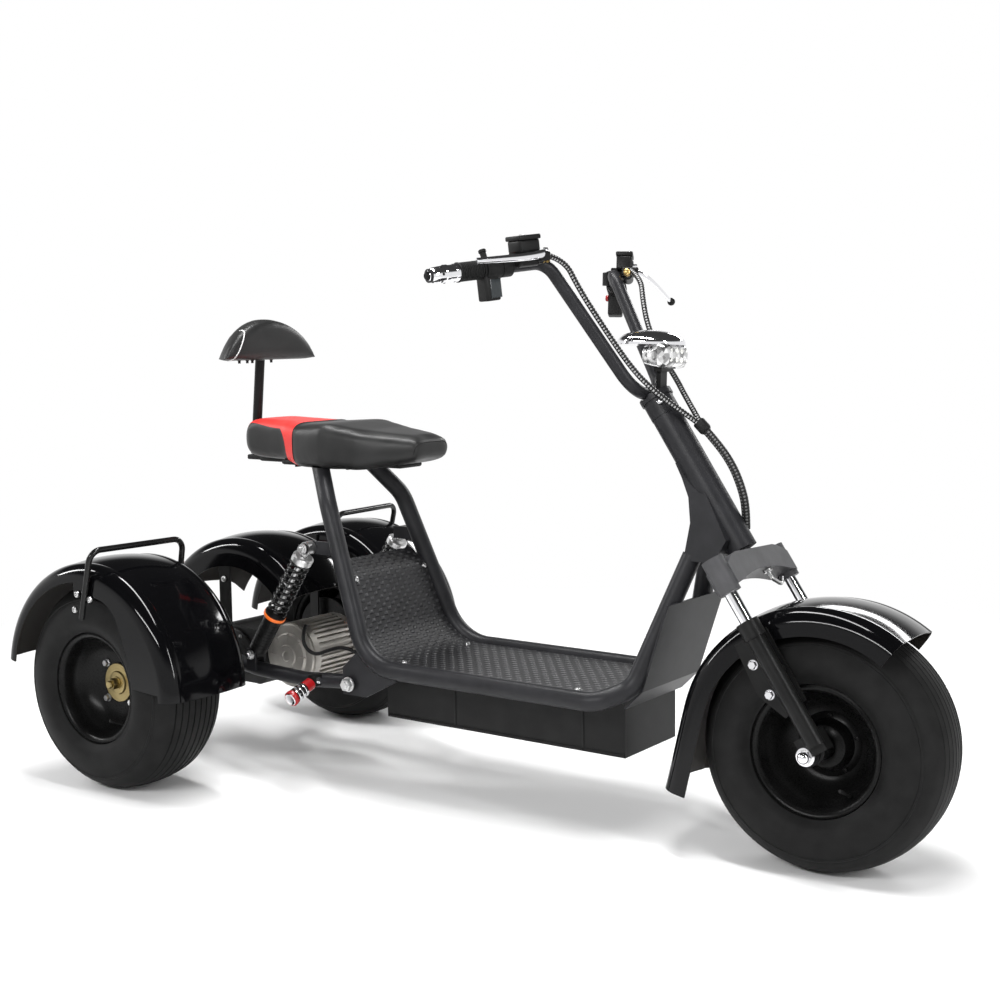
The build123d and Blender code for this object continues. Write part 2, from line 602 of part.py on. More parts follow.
# Deck
DECK_TOP_Z = 288.0
DECK_T = 3.0
deck_path = bent_path([(front(411), 0, DECK_TOP_Z - 1.5), (rear(506), 0, DECK_TOP_Z - 1.5), (rear(441), 0, 462),
                       (rear(408), 0, 494)], [108, 60])
deck_seat = Plane(origin=deck_path @ 0, x_dir=(0, 1, 0), z_dir=deck_path % 0)
deck = sweep(deck_seat * Rectangle(290, DECK_T), path=deck_path)
gap_outline = [(141, 250), (141, 345), (127, 455), (118, 486), (108, 520), (-108, 520), (-118, 486), (-127, 455),
               (-141, 345), (-141, 250)]
gap = make_face(Polyline(*[(rear(300), y, z) for y, z in gap_outline], close=True))
deck = deck & extrude(gap, 900, dir=(1, 0, 0))
for k in (-1, 1):
    deck = deck - hoop_room(k)
deck = deck.solids().sort_by(SortBy.VOLUME)[-1]
keep("footboard", deck)

CROSSBAR_HALF = DECK_Y - TUBE_R - 0.4
CROSSBARS = [rear(600), (rear(820) + front(663)) / 2, front(453)]
crossbars = []
for x in CROSSBARS:
    crossbars.append(box_between((x - 20, -CROSSBAR_HALF, 268), (x + 20, CROSSBAR_HALF, DECK_TOP_Z - DECK_T - SEAT_GAP)))
keep("deck_crossbars", *crossbars)
battery = box_between((rear(512), -97, 162), (front(379), 97, 268 - SEAT_GAP))
keep("battery_box", battery)

# Under panel and splash panel
SPLASH_OUTLINE = [(371, 262), (333, 300), (277, 470), (281, 471), (337, 302), (374, 265)]
splash_face = make_face(Polyline(*[(front(x), 0, z) for x, z in SPLASH_OUTLINE], close=True))
splash = extrude(splash_face, 110, both=True)
for k in (-1, 1):
    splash = splash - hoop_room(k)
splash = splash.solids().sort_by(SortBy.VOLUME)[-1]
keep("splash_panel", splash)

# Pivot plates and swingarm
PIVOT = (475, 243)
ARM_Y = 150.0
ARM_R = 16.0
plates = []
for k in (-1, 1):
    outline = [(452, 218), (515, 218), (600, 262), (575, 290), (500, 320), (452, 275)]
    y = k * (ARM_Y + 17 + SEAT_GAP)
    face = make_face(Polyline(*[(rear(x), y, z) for x, z in outline], close=True))
    plate = extrude(face, 4, dir=(0, k, 0)) - hoop_room(k)
    plate = plate.solids().sort_by(SortBy.VOLUME)[-1]
    plate = plate + bar((rear(PIVOT[0]), y, PIVOT[1]), (rear(PIVOT[0]), y + k * 13, PIVOT[1]), 11)
    plates.append(plate)
keep("pivot_plates", *plates)
arms = []
arm_rooms = []
for side, k in (("right", -1), ("left", 1)):
    arm_points = [(rear(476), k * ARM_Y, 243), (rear(330), k * ARM_Y, 230), (rear(180), k * ARM_Y, 236),
                  (rear(24), k * ARM_Y, 262)]
    arm = bent_rod(arm_points, [200, 150], ARM_R)
    arm = arm + bar((rear(PIVOT[0]), k * (ARM_Y - 17), PIVOT[1]), (rear(PIVOT[0]), k * (ARM_Y + 17), PIVOT[1]), 20)
    arm = arm - bar((REAR_AXLE_X, -300, AXLE_Z), (REAR_AXLE_X, 300, AXLE_Z), 30 + SEAT_GAP)
    arms.append(arm)
    arm_rooms.append(bent_rod(arm_points, [200, 150], ARM_R + SEAT_GAP))
keep("swingarm", *arms)

housing = bar((REAR_AXLE_X, -HOUSING_END_Y, AXLE_Z), (REAR_AXLE_X, HOUSING_END_Y, AXLE_Z), 30)
for k in (-1, 1):
    housing = housing - bar((REAR_AXLE_X, k * (HOUSING_END_Y - 45), AXLE_Z), (REAR_AXLE_X, k * HOUSING_END_Y, AXLE_Z),
                            REAR_SHAFT_R + BEARING_GAP)
keep("axle_housing", housing)
GEARBOX_HALF = 60.0
gearbox_edges = [
    Line((-52, 172), (84, 172)), ThreePointArc((84, 172), (116, 186), (115.7, 214)),
    Line((115.7, 214), (115.7, 262)), Line((115.7, 262), (100, 296)), Line((100, 296), (30, 304)),
    ThreePointArc((30, 304), (-52, 282), (-78, 214)), ThreePointArc((-78, 214), (-72, 186), (-52, 172)),
]
gearbox_face = Plane(origin=(REAR_AXLE_X, 0, 0), x_dir=(1, 0, 0), z_dir=(0, -1, 0)) * make_face(Wire(gearbox_edges))
gearbox = extrude(gearbox_face, GEARBOX_HALF, both=True)
gearbox = gearbox - bar((REAR_AXLE_X, -80, AXLE_Z), (REAR_AXLE_X, 80, AXLE_Z), 30 + SEAT_GAP)
keep("gearbox", gearbox)

# Motor: a round case with cooling fins along its length, between two plain end bells
MOTOR_X = rear(190)
MOTOR_Z = 250.0
MOTOR_R = 74.0
FIN_H = 7.0
FINS = 36
MOTOR_Y0 = -50.0
MOTOR_Y1 = 100.0
BELL = 18.0
fin_outline = []
for i in range(FINS):
    for part, r in ((0.0, MOTOR_R), (0.42, MOTOR_R), (0.5, MOTOR_R - FIN_H), (0.92, MOTOR_R - FIN_H)):
        a = 2 * math.pi * (i + part) / FINS
        fin_outline.append((r * math.cos(a), r * math.sin(a)))
fin_seat = Plane(origin=(MOTOR_X, MOTOR_Y0 + BELL, MOTOR_Z), x_dir=(1, 0, 0), z_dir=(0, 1, 0))
motor = extrude(fin_seat * make_face(Polyline(*fin_outline, close=True)), MOTOR_Y1 - MOTOR_Y0 - 2 * BELL)
motor = motor + bar((MOTOR_X, MOTOR_Y0, MOTOR_Z), (MOTOR_X, MOTOR_Y0 + BELL, MOTOR_Z), MOTOR_R)
motor = motor + bar((MOTOR_X, MOTOR_Y1 - BELL, MOTOR_Z), (MOTOR_X, MOTOR_Y1, MOTOR_Z), MOTOR_R)
keep("motor", motor)

# Shocks
SHOCK_Y = 159.0
SHOCK_TOP = (349, 521)
SHOCK_BOTTOM = (184, 272)
top = Vector(rear(SHOCK_TOP[0]), 0, SHOCK_TOP[1])
low = Vector(rear(SHOCK_BOTTOM[0]), 0, SHOCK_BOTTOM[1])
way = (top - low).normalized()


def on_shock(d, k):
    """Point d mm up the shock from its lower eye on side k."""
    p = low + way * d
    return (p.X, k * SHOCK_Y, p.Z)


shock_len = (top - low).length
SPRING_R = 20.0
WIRE_R = 3.5
SPRING_TURNS = 9


def coil(foot, head, k):
    """Round wire wound from foot to head along the shock."""
    seat = Plane(origin=on_shock(foot + WIRE_R, k), z_dir=way)
    height = head - foot - 2 * WIRE_R
    path = Helix(height / SPRING_TURNS, height, SPRING_R)
    wire = sweep(Plane(origin=path @ 0, z_dir=path % 0) * Circle(WIRE_R), path=path)
    return seat * wire


bodies = []
rods = []
springs = []
mounts = []
for i, k in enumerate((-1, 1)):
    body = bar(on_shock(14, k), on_shock(112, k), 20) + bar(on_shock(108, k), on_shock(118, k), 24)
    body = body + bar((low.X, k * SHOCK_Y - 12, low.Z), (low.X, k * SHOCK_Y + 12, low.Z), 15)
    bodies.append(body)
    rod = bar(on_shock(118.3, k), on_shock(shock_len - 12, k), 6.5)
    rod = rod + bar(on_shock(shock_len - 34, k), on_shock(shock_len - 24, k), 23)
    rod = rod + bar((top.X, k * SHOCK_Y - 11, top.Z), (top.X, k * SHOCK_Y + 11, top.Z), 14)
    rods.append(rod)
    springs.append(coil(118.3, shock_len - 34.3, k))
    for y0 in (SHOCK_Y - 16.3, SHOCK_Y + 12.3):
        ear = box_between((low.X - 13, min(k * y0, k * (y0 + 4)), 236), (low.X + 13, max(k * y0, k * (y0 + 4)), low.Z + 12))
        ear = ear - arm_rooms[i]
        ear = ear - bar(on_shock(14, k), on_shock(120, k), 20 + SEAT_GAP)
        mounts.append(ear.solids().sort_by(SortBy.VOLUME)[-1])
    lo_y = min(k * 141.0, k * (SHOCK_Y - 12.3))
    hi_y = max(k * 141.0, k * (SHOCK_Y - 12.3))
    ear = box_between((top.X - 12, lo_y, top.Z - 14), (rear(440), hi_y, top.Z + 14)) - hoop_room(k)
    mounts.append(ear.solids().sort_by(Axis.X)[0])
keep("shock_bodies", *bodies)
keep("shock_rods", *rods)
keep("shock_springs", *springs)
keep("shock_mounts", *mounts)

# Seat
SADDLE_Z = 700.0
seat_base = box_between((rear(30), -48, HOOP_TOP_Z + SEAT_GAP), (rear(530), 48, SADDLE_Z))
seat_base = seat_base + box_between((rear(200), -96, HOOP_TOP_Z + SEAT_GAP), (rear(420), 96, SADDLE_Z))
keep("seat_base", seat_base)
SADDLE = [
    # x from the rear axle, half width, underside z, top z
    (66, 62, 715, 770), (92, 80, 706, 788), (210, 88, 700.3, 784), (270, 112, 700.3, 780), (350, 126, 700.3, 784),
    (440, 112, 700.3, 770), (524, 84, 704, 762), (575, 58, 712, 757),
]
sections = []
for x, hw, z0, z1 in SADDLE:
    plane = Plane(origin=(rear(x), 0, (z0 + z1) / 2), x_dir=(0, 1, 0), z_dir=(1, 0, 0))
    sections.append(plane * RectangleRounded(2 * hw, z1 - z0, 20))
keep("saddle", loft(sections, ruled=True))
PAD_Z = 920.0
keep("backrest_post", bar((rear(43), 0, SADDLE_Z + 1.5), (rear(65), 0, PAD_Z - 1.5), 11))
pad_face = make_face(Wire([
    Line((rear(52), -150, PAD_Z), (rear(52), 150, PAD_Z)),
    ThreePointArc((rear(52), 150, PAD_Z), (rear(52), 0, PAD_Z + 92), (rear(52), -150, PAD_Z)),
]))
keep("backrest_pad", extrude(pad_face, 58, dir=(1, 0, 0)))

# Fender rails and stays
RAIL_R = 6.5
RAIL_HALF = REAR_FENDER_HALF + RAIL_R + SEAT_GAP
rails = []
for k in (-1, 1):
    y0 = k * (REAR_TRACK / 2 + RAIL_HALF)
    y1 = k * (REAR_TRACK / 2 - RAIL_HALF)
    rails.append(bent_rod([(rear(12), y0, 386), (rear(48), y0, 533), (rear(63), y1, 533), (rear(46), y1, 430)],
                          [26, 26], RAIL_R))
keep("fender_rails", *rails)
fender_stays = []
for k in (-1, 1):
    inner_face = REAR_TRACK / 2 - REAR_FENDER_HALF
    ys = sorted((k * (inner_face - SEAT_GAP), k * (inner_face - SEAT_GAP - 5)))
    fender_stays.append(box_between((rear(-34), ys[0], AXLE_Z + 30.3 - 14), (rear(-8), ys[1], 478))
                        - bar((REAR_AXLE_X, -300, AXLE_Z), (REAR_AXLE_X, 300, AXLE_Z), 30 + SEAT_GAP))
    skirt = CENTRE_FENDER_HALF - FENDER_T
    ys = sorted((k * (skirt - SEAT_GAP), k * (skirt - SEAT_GAP - 5)))
    fender_stays.append(box_between((rear(18), ys[0], AXLE_Z + 6), (rear(52), ys[1], 478))
                        - bar((REAR_AXLE_X, -300, AXLE_Z), (REAR_AXLE_X, 300, AXLE_Z), 30 + SEAT_GAP))
keep("fender_stays", *fender_stays)

# Footpegs: a spool with rings on a short arm, screwed to each side of the swingarm
PEG_X = 372.0
PEG_FOOT = (172.0, 238.0)
PEG_TIP = (258.0, 207.0)
PEG_STEPS = [
    # start and end as shares of the length, radius
    (0.0, 0.14, 9), (0.14, 0.40, 12.5), (0.40, 0.46, 15.5), (0.46, 0.52, 11), (0.52, 0.58, 15.5), (0.58, 0.64, 11),
    (0.64, 0.70, 15.5), (0.70, 0.76, 11), (0.76, 0.82, 15.5), (0.82, 0.88, 11), (0.88, 1.0, 16.5),
]
pegs = []
for i, k in enumerate((-1, 1)):
    foot = Vector(rear(PEG_X), k * PEG_FOOT[0], PEG_FOOT[1])
    reach = Vector(rear(PEG_X), k * PEG_TIP[0], PEG_TIP[1]) - foot
    peg = box_between((rear(PEG_X) - 12, min(k * 150, k * 178), 224), (rear(PEG_X) + 12, max(k * 150, k * 178), 250))
    for a, b, r in PEG_STEPS:
        peg = peg + bar(tuple(foot + reach * a), tuple(foot + reach * b), r)
    peg = peg - arm_rooms[i]
    pegs.append(peg.solids().sort_by(SortBy.VOLUME)[-1])
keep("footpegs", *pegs)

# Tail light
lamp = box_between((rear(-216), -38, 388), (rear(-140), 38, 426))
lamp = lamp - bar((rear(55), -120, 255), (rear(55), 120, 255), 264 + SEAT_GAP)
keep("tail_light", lamp.solids().sort_by(SortBy.VOLUME)[-1])

# Braided sleeves from the two brake cylinders, joined in one loom in front of the head tube
SLEEVE_CORD_R = 5.5
LOOM_R = 8.0
MERGE_S = 930.0
MERGE_E = 50.0
MERGE_HALF = 6.2
merge = st(MERGE_S + SEAT_GAP, 0, MERGE_E)
right_route = [
    (529, -165.5, 1112), (511, -116, 1108), (483, -106, 1052), (443, -88, 986), (391, -62, 904), (349, -50, 862),
    (313, -26, 832),
]
left_route = [
    (513.4, 172, 1108), (479, 150, 1090), (461, 124, 1046), (441, 106, 994), (405, 88, 938), (359, 66, 891),
    (321, 36, 850),
]
for name, route, k in (("cable_sleeve_right", right_route, -1), ("cable_sleeve_left", left_route, 1)):
    pts = [(front(x), y, z) for x, y, z in route] + [(merge[0], k * MERGE_HALF, merge[2])]
    sleeve = cord(name, pts, SLEEVE_CORD_R)
    sleeve = sleeve - bar(st(MERGE_S - 40, 0, MERGE_E), merge, 40) - master_rooms[0] - master_rooms[1]
    keep_steered(name, sleeve.solids().sort_by(SortBy.VOLUME)[-1])
LOOM = [
    # s, y, e and the share of the steering's turn that the loom takes there
    (MERGE_S, 0, MERGE_E, 1.0), (880, 0, 61, 1.0), (830, 2, 65.5, 0.7), (785, 6, 58.5, 0.3), (748, 15, 42, 0.0),
    (716, 24, 16, 0.0),
]


def part_turned(s, y, e, share):
    """Steering-frame point turned by a share of the rest angle."""
    p = Vertex(*st(s, y, e)).rotate(STEER_AXIS, STEER_REST * share)
    return (p.X, p.Y, p.Z)


loom = cord("cable_loom", [part_turned(*p) for p in LOOM], LOOM_R)
boot_r = MERGE_HALF + SLEEVE_CORD_R + 0.5
loom = loom + bar(part_turned(*LOOM[0]), part_turned(MERGE_S - 22, 0, MERGE_E, 1.0), boot_r)
loom = loom - bar(part_turned(*LOOM[0]), part_turned(MERGE_S + 40, 0, MERGE_E, 1.0), 40)
loom = loom - bar(st(HEAD_BOTTOM_S, 0, 0), st(HEAD_TOP_S, 0, 0), HEAD_R + SEAT_GAP)
keep("cable_loom", loom.solids().sort_by(SortBy.VOLUME)[-1])

for name, shape in parts.items():
    export_step(shape, os.path.join("parts", name + ".step"))
    bb = shape.bounding_box()
    print(name, len(shape.solids()), "x", round(bb.min.X), round(bb.max.X), "y", round(bb.min.Y), round(bb.max.Y),
          "z", round(bb.min.Z), round(bb.max.Z), "vol", round(shape.volume / 1000), "cm3")
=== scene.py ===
# %% [markdown]
# # A three-wheeled electric scooter
# The frame of this scene is the scooter's own construction model. It brings every tube, wheel and bracket
# at its real size and place, in metres, with +X forward, +Y to the rider's left and +Z up. What is added
# here is what the eye reads: rubber, gloss paint, leather, chrome, and the small pieces made one by one.

# %% Load the frame
import bpy
import bmesh
import math
from mathutils import Matrix, Vector


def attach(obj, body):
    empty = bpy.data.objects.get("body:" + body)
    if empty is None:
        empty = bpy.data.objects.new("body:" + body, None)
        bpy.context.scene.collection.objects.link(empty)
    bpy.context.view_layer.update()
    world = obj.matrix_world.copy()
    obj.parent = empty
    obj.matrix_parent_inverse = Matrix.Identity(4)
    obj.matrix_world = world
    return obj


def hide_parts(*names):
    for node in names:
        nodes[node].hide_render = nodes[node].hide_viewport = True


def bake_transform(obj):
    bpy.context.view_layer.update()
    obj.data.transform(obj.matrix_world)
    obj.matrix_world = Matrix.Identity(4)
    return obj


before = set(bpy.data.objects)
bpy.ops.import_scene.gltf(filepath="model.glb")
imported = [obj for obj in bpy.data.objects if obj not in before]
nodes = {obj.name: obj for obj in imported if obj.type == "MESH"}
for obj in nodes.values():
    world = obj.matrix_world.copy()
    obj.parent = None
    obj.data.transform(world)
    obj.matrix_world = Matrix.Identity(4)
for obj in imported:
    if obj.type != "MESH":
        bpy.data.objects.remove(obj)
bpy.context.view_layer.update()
scene = bpy.context.scene

# %% [markdown]
# ## Camera
# The photograph was taken from ahead and to the right with a normal lens at about chest height. The
# place, the three angles and the focal length come from fitting the wheels and the paired tubes to the
# picture. A Matrix for each turn, multiplied in order, is clearer here than Euler angles, because the
# small roll is a turn about the camera's own axis.

# %% Place the camera
CAMERA_PLACE = Vector((1.8856, -2.5637, 0.9831))
CAMERA_LENS = 55.41
CAMERA_YAW = math.radians(35.94)
CAMERA_PITCH = math.radians(6.34)
CAMERA_ROLL = math.radians(-0.65)

camera_data = bpy.data.cameras.new("camera")
camera_data.lens = CAMERA_LENS
camera_data.sensor_width = 36.0
camera_data.sensor_fit = "HORIZONTAL"
camera_data.clip_end = 100.0
camera = bpy.data.objects.new("camera", camera_data)
scene.collection.objects.link(camera)
camera.matrix_world = (
    Matrix.Translation(CAMERA_PLACE)
    @ Matrix.Rotation(CAMERA_YAW, 4, "Z")
    @ Matrix.Rotation(math.pi / 2 - CAMERA_PITCH, 4, "X")
    @ Matrix.Rotation(CAMERA_ROLL, 4, "Z")
)
scene.camera = camera
scene.view_settings.view_transform = "Standard"
print("camera", tuple(round(v, 3) for v in camera.location))

# %% [markdown]
# ## Studio
# The scooter stands on a white sweep under large soft lamps. Black gloss paint shows only what it
# mirrors, so the lamps are long strips: they give the bright streaks along the fenders. The sky is white
# near the horizon, where the camera and the mirrors look, and dim above, so that blacks stay black. The
# floor near the scooter is a pale surface that takes the soft shadow, and it fades to plain white further
# out, so that no edge shows.

# %% Make the floor
def node_material(name):
    """A material with nodes, its tree and its shader."""
    mat = bpy.data.materials.new(name)
    mat.use_nodes = True
    tree = mat.node_tree
    return mat, tree, tree.nodes["Principled BSDF"]


def map_range(tree, value, low, high, to_low=0.0, to_high=1.0):
    """Map low..high to to_low..to_high, held at both ends."""
    span = tree.nodes.new("ShaderNodeMapRange")
    span.inputs["From Min"].default_value = low
    span.inputs["From Max"].default_value = high
    span.inputs["To Min"].default_value = to_low
    span.inputs["To Max"].default_value = to_high
    tree.links.new(value, span.inputs["Value"])
    return span.outputs["Result"]


def math_node(tree, kind, first, second=None):
    """One Math node on a socket and a second socket or number."""
    node = tree.nodes.new("ShaderNodeMath")
    node.operation = kind
    for slot, value in zip(node.inputs, (first, second)):
        if hasattr(value, "links"):
            tree.links.new(value, slot)
        elif value is not None:
            slot.default_value = value
    return node.outputs[0]


def seen_by_eye(tree):
    """1 for camera, mirror and glass rays, 0 for the light that falls on things."""
    path = tree.nodes.new("ShaderNodeLightPath")
    eye = math_node(tree, "MAXIMUM", path.outputs["Is Camera Ray"], path.outputs["Is Glossy Ray"])
    return math_node(tree, "MAXIMUM", eye, path.outputs["Is Transmission Ray"])


FLOOR_HALF = 14.0
FADE_FROM, FADE_TO = 1.1, 2.6
mesh = bpy.data.meshes.new("floor")
bm = bmesh.new()
bmesh.ops.create_grid(bm, x_segments=1, y_segments=1, size=FLOOR_HALF)
bmesh.ops.translate(bm, vec=(0, 0, -0.0005), verts=bm.verts)
bm.to_mesh(mesh)
bm.free()
floor = bpy.data.objects.new("floor", mesh)
scene.collection.objects.link(floor)
floor_paint, tree, shader = node_material("studio_floor")
shader.inputs["Base Color"].default_value = (0.93, 0.93, 0.93, 1)
shader.inputs["Roughness"].default_value = 0.9
shader.inputs["Specular IOR Level"].default_value = 0.05
place = tree.nodes.new("ShaderNodeTexCoord")
reach = tree.nodes.new("ShaderNodeVectorMath")
reach.operation = "LENGTH"
tree.links.new(place.outputs["Object"], reach.inputs[0])
fade = map_range(tree, reach.outputs["Value"], FADE_FROM, FADE_TO)
white = tree.nodes.new("ShaderNodeEmission")
mixer = tree.nodes.new("ShaderNodeMixShader")
tree.links.new(math_node(tree, "MULTIPLY", fade, seen_by_eye(tree)), mixer.inputs[0])
tree.links.new(shader.outputs[0], mixer.inputs[1])
tree.links.new(white.outputs[0], mixer.inputs[2])
tree.links.new(mixer.outputs[0], tree.nodes["Material Output"].inputs["Surface"])
mesh.materials.append(floor_paint)
print("floor", FLOOR_HALF * 2, "m across")

# %% Make the sky
SKY_FILL = 0.30
SKY_TOP = 0.05
world = bpy.data.worlds.new("studio")
scene.world = world
world.use_nodes = True
tree = world.node_tree
backdrop = tree.nodes["Background"]
way = tree.nodes.new("ShaderNodeTexCoord")
parts = tree.nodes.new("ShaderNodeSeparateXYZ")
tree.links.new(way.outputs["Generated"], parts.inputs[0])
tree.links.new(map_range(tree, parts.outputs["Z"], 0.21, 0.40, 1.0, SKY_TOP), backdrop.inputs["Strength"])
backdrop.inputs["Color"].default_value = (1, 1, 1, 1)
soft_fill = tree.nodes.new("ShaderNodeBackground")
soft_fill.inputs["Color"].default_value = (1, 1, 1, 1)
soft_fill.inputs["Strength"].default_value = SKY_FILL
mixer = tree.nodes.new("ShaderNodeMixShader")
tree.links.new(seen_by_eye(tree), mixer.inputs[0])
tree.links.new(soft_fill.outputs[0], mixer.inputs[1])
tree.links.new(backdrop.outputs[0], mixer.inputs[2])
tree.links.new(mixer.outputs[0], tree.nodes["World Output"].inputs["Surface"])
print("sky fill", SKY_FILL)


# %% Hang the lamps
def strip_lamp(name, place, aim, size, power):
    """A rectangular soft lamp at place, turned to face aim."""
    data = bpy.data.lights.new(name, "AREA")
    data.shape = "RECTANGLE"
    data.size, data.size_y = size
    data.energy = power
    lamp = bpy.data.objects.new(name, data)
    scene.collection.objects.link(lamp)
    way = Vector(aim) - Vector(place)
    lamp.matrix_world = Matrix.Translation(place) @ way.to_track_quat("-Z", "Y").to_matrix().to_4x4()
    return lamp


LAMPS = (
    # name, place, aim, size, watts
    ("top_lamp", (-0.1, -0.2, 3.2), (0, 0, 0.4), (3.4, 0.28), 120),
    ("side_lamp", (0.3, -4.2, 2.6), (0, 0, 0.5), (3.0, 0.22), 110),
    ("front_lamp", (4.4, -0.8, 2.2), (0.3, 0, 0.5), (0.25, 2.2), 80),
    ("rear_lamp", (-3.8, -1.4, 2.6), (-0.4, 0, 0.5), (0.25, 2.2), 70),
    ("far_lamp", (0.2, 4.0, 2.6), (0, 0, 0.5), (3.0, 0.3), 70),
)
for row in LAMPS:
    strip_lamp(*row)
print("lamps", len(LAMPS))

# %% [markdown]
# ## Finishes
# Each finish says in one line what the paint, rubber or plating does to light. Colour and gloss wander
# slowly across a piece, as they do on anything that was sprayed or moulded, and a fine grain sits in the
# bump. The noise reads object coordinates, so a pattern keeps its real size in metres on every piece.


# %% Build finishes
def put_bump(tree, shader, height, strength, distance):
    """Feed a height into the shader's normal through a Bump node."""
    bump = tree.nodes.new("ShaderNodeBump")
    bump.inputs["Strength"].default_value = strength
    bump.inputs["Distance"].default_value = distance
    tree.links.new(height, bump.inputs["Height"])
    tree.links.new(bump.outputs["Normal"], shader.inputs["Normal"])


def noise_on_object(tree, scale, detail=4.0):
    """Noise at a given number of cells per metre, read from object coordinates."""
    place = tree.nodes.new("ShaderNodeTexCoord")
    noise = tree.nodes.new("ShaderNodeTexNoise")
    noise.inputs["Scale"].default_value = scale
    noise.inputs["Detail"].default_value = detail
    tree.links.new(place.outputs["Object"], noise.inputs["Vector"])
    return noise.outputs["Fac"]


def tint(tree, value, dark, light, low=0.3, high=0.7):
    """Blend two colours by a 0..1 value."""
    ramp = tree.nodes.new("ShaderNodeValToRGB")
    ramp.color_ramp.elements[0].position = low
    ramp.color_ramp.elements[0].color = (*dark, 1)
    ramp.color_ramp.elements[1].position = high
    ramp.color_ramp.elements[1].color = (*light, 1)
    tree.links.new(value, ramp.inputs["Fac"])
    return ramp.outputs["Color"]


def finish(name, dark, light, rough, metal=0.0, spec=0.5, cells=300.0, grain=0.1, depth=0.0003):
    """A finish with slight colour and gloss changes and a fine grain."""
    mat, tree, shader = node_material(name)
    noise = noise_on_object(tree, cells)
    slow = noise_on_object(tree, cells / 30)
    tree.links.new(tint(tree, slow, dark, light), shader.inputs["Base Color"])
    tree.links.new(map_range(tree, noise, 0.0, 1.0, *rough), shader.inputs["Roughness"])
    shader.inputs["Metallic"].default_value = metal
    shader.inputs["Specular IOR Level"].default_value = spec
    put_bump(tree, shader, noise, grain, depth)
    return mat


def grey(value, blue=0.0):
    """A grey, or a slightly blue one."""
    return (value, value, value * (1 + blue))


rubber = finish("tyre_rubber", grey(0.006), grey(0.010), (0.5, 0.7), spec=0.12, cells=900, grain=0.3)
rim_black = finish("rim_black", grey(0.004), grey(0.007), (0.22, 0.34), spec=0.12, cells=500, grain=0.05)
frame_paint = finish("frame_paint", grey(0.012, 0.12), grey(0.018, 0.12), (0.34, 0.46), spec=0.2, cells=900,
                     grain=0.2)
satin_black = finish("satin_black", grey(0.005), grey(0.009), (0.3, 0.42), spec=0.15, cells=700, grain=0.15)
moulded_black = finish("moulded_black", grey(0.007), grey(0.011), (0.45, 0.6), spec=0.15, cells=1400, grain=0.4)
crown_grey = finish("crown_grey", grey(0.05, 0.05), grey(0.07, 0.05), (0.4, 0.52), spec=0.2, cells=900,
                    grain=0.25)
chrome = finish("chrome", grey(0.74, 0.03), grey(0.84, 0.02), (0.05, 0.11), metal=1.0, cells=120, grain=0.01)
zinc = finish("zinc_plate", grey(0.50), grey(0.64), (0.24, 0.4), metal=1.0, cells=400, grain=0.12)
gold_zinc = finish("gold_zinc", (0.26, 0.20, 0.09), (0.42, 0.34, 0.17), (0.28, 0.42), metal=1.0, cells=300,
                   grain=0.1)
dark_cast = finish("dark_cast", grey(0.020), grey(0.034), (0.42, 0.6), metal=0.3, spec=0.4, cells=600,
                   grain=0.6, depth=0.0006)
warm_cast = finish("warm_cast", (0.30, 0.285, 0.26), (0.46, 0.44, 0.41), (0.38, 0.55), metal=0.8, cells=500,
                   grain=0.4, depth=0.0005)
brass = finish("brass_plate", (0.45, 0.30, 0.10), (0.62, 0.45, 0.18), (0.25, 0.4), metal=1.0, cells=300,
               grain=0.1)
spring_gloss = finish("spring_gloss", grey(0.006), grey(0.010), (0.12, 0.2), spec=0.25, cells=200, grain=0.03)
orange_ring = finish("orange_ring", (0.75, 0.13, 0.01), (0.85, 0.18, 0.02), (0.25, 0.35), cells=300, grain=0.05)
red_gloss = finish("red_gloss", (0.24, 0.006, 0.008), (0.34, 0.009, 0.011), (0.2, 0.3), cells=300, grain=0.05)
white_trim = finish("white_trim", grey(0.62), grey(0.74), (0.4, 0.5), cells=600, grain=0.2)
print("finishes", len(bpy.data.materials))

# %% [markdown]
# The fenders are moulded: glossy outside, plain and dull underneath. One material can do both. A point of
# the inner side faces the middle of the wheel, and a point of the outer side faces away from it, so the
# dot product of the surface's normal with the way from the wheel's middle tells the two apart.


# %% Make the fender paint
def fender_paint(name, middle):
    """Gloss black where the surface faces away from the wheel, dull grey-brown where it faces it."""
    mat, tree, shader = node_material(name)
    place = tree.nodes.new("ShaderNodeTexCoord")
    out = tree.nodes.new("ShaderNodeVectorMath")
    out.operation = "SUBTRACT"
    out.inputs[1].default_value = middle
    tree.links.new(place.outputs["Object"], out.inputs[0])
    facing = tree.nodes.new("ShaderNodeVectorMath")
    facing.operation = "DOT_PRODUCT"
    tree.links.new(out.outputs["Vector"], facing.inputs[0])
    tree.links.new(place.outputs["Normal"], facing.inputs[1])
    outside = map_range(tree, facing.outputs["Value"], -0.005, 0.005)
    grain = noise_on_object(tree, 700.0)
    ripple = noise_on_object(tree, 14.0, 1.0)
    paint = tint(tree, outside, (0.026, 0.023, 0.020), (0.0020, 0.0020, 0.0024))
    tree.links.new(paint, shader.inputs["Base Color"])
    gloss = map_range(tree, grain, 0.0, 1.0, 0.07, 0.11)
    dull = map_range(tree, grain, 0.0, 1.0, 0.5, 0.7)
    blend = tree.nodes.new("ShaderNodeMix")
    tree.links.new(outside, blend.inputs["Factor"])
    tree.links.new(dull, blend.inputs["A"])
    tree.links.new(gloss, blend.inputs["B"])
    tree.links.new(blend.outputs["Result"], shader.inputs["Roughness"])
    shader.inputs["Specular IOR Level"].default_value = 0.2
    put_bump(tree, shader, ripple, 0.06, 0.004)
    return mat


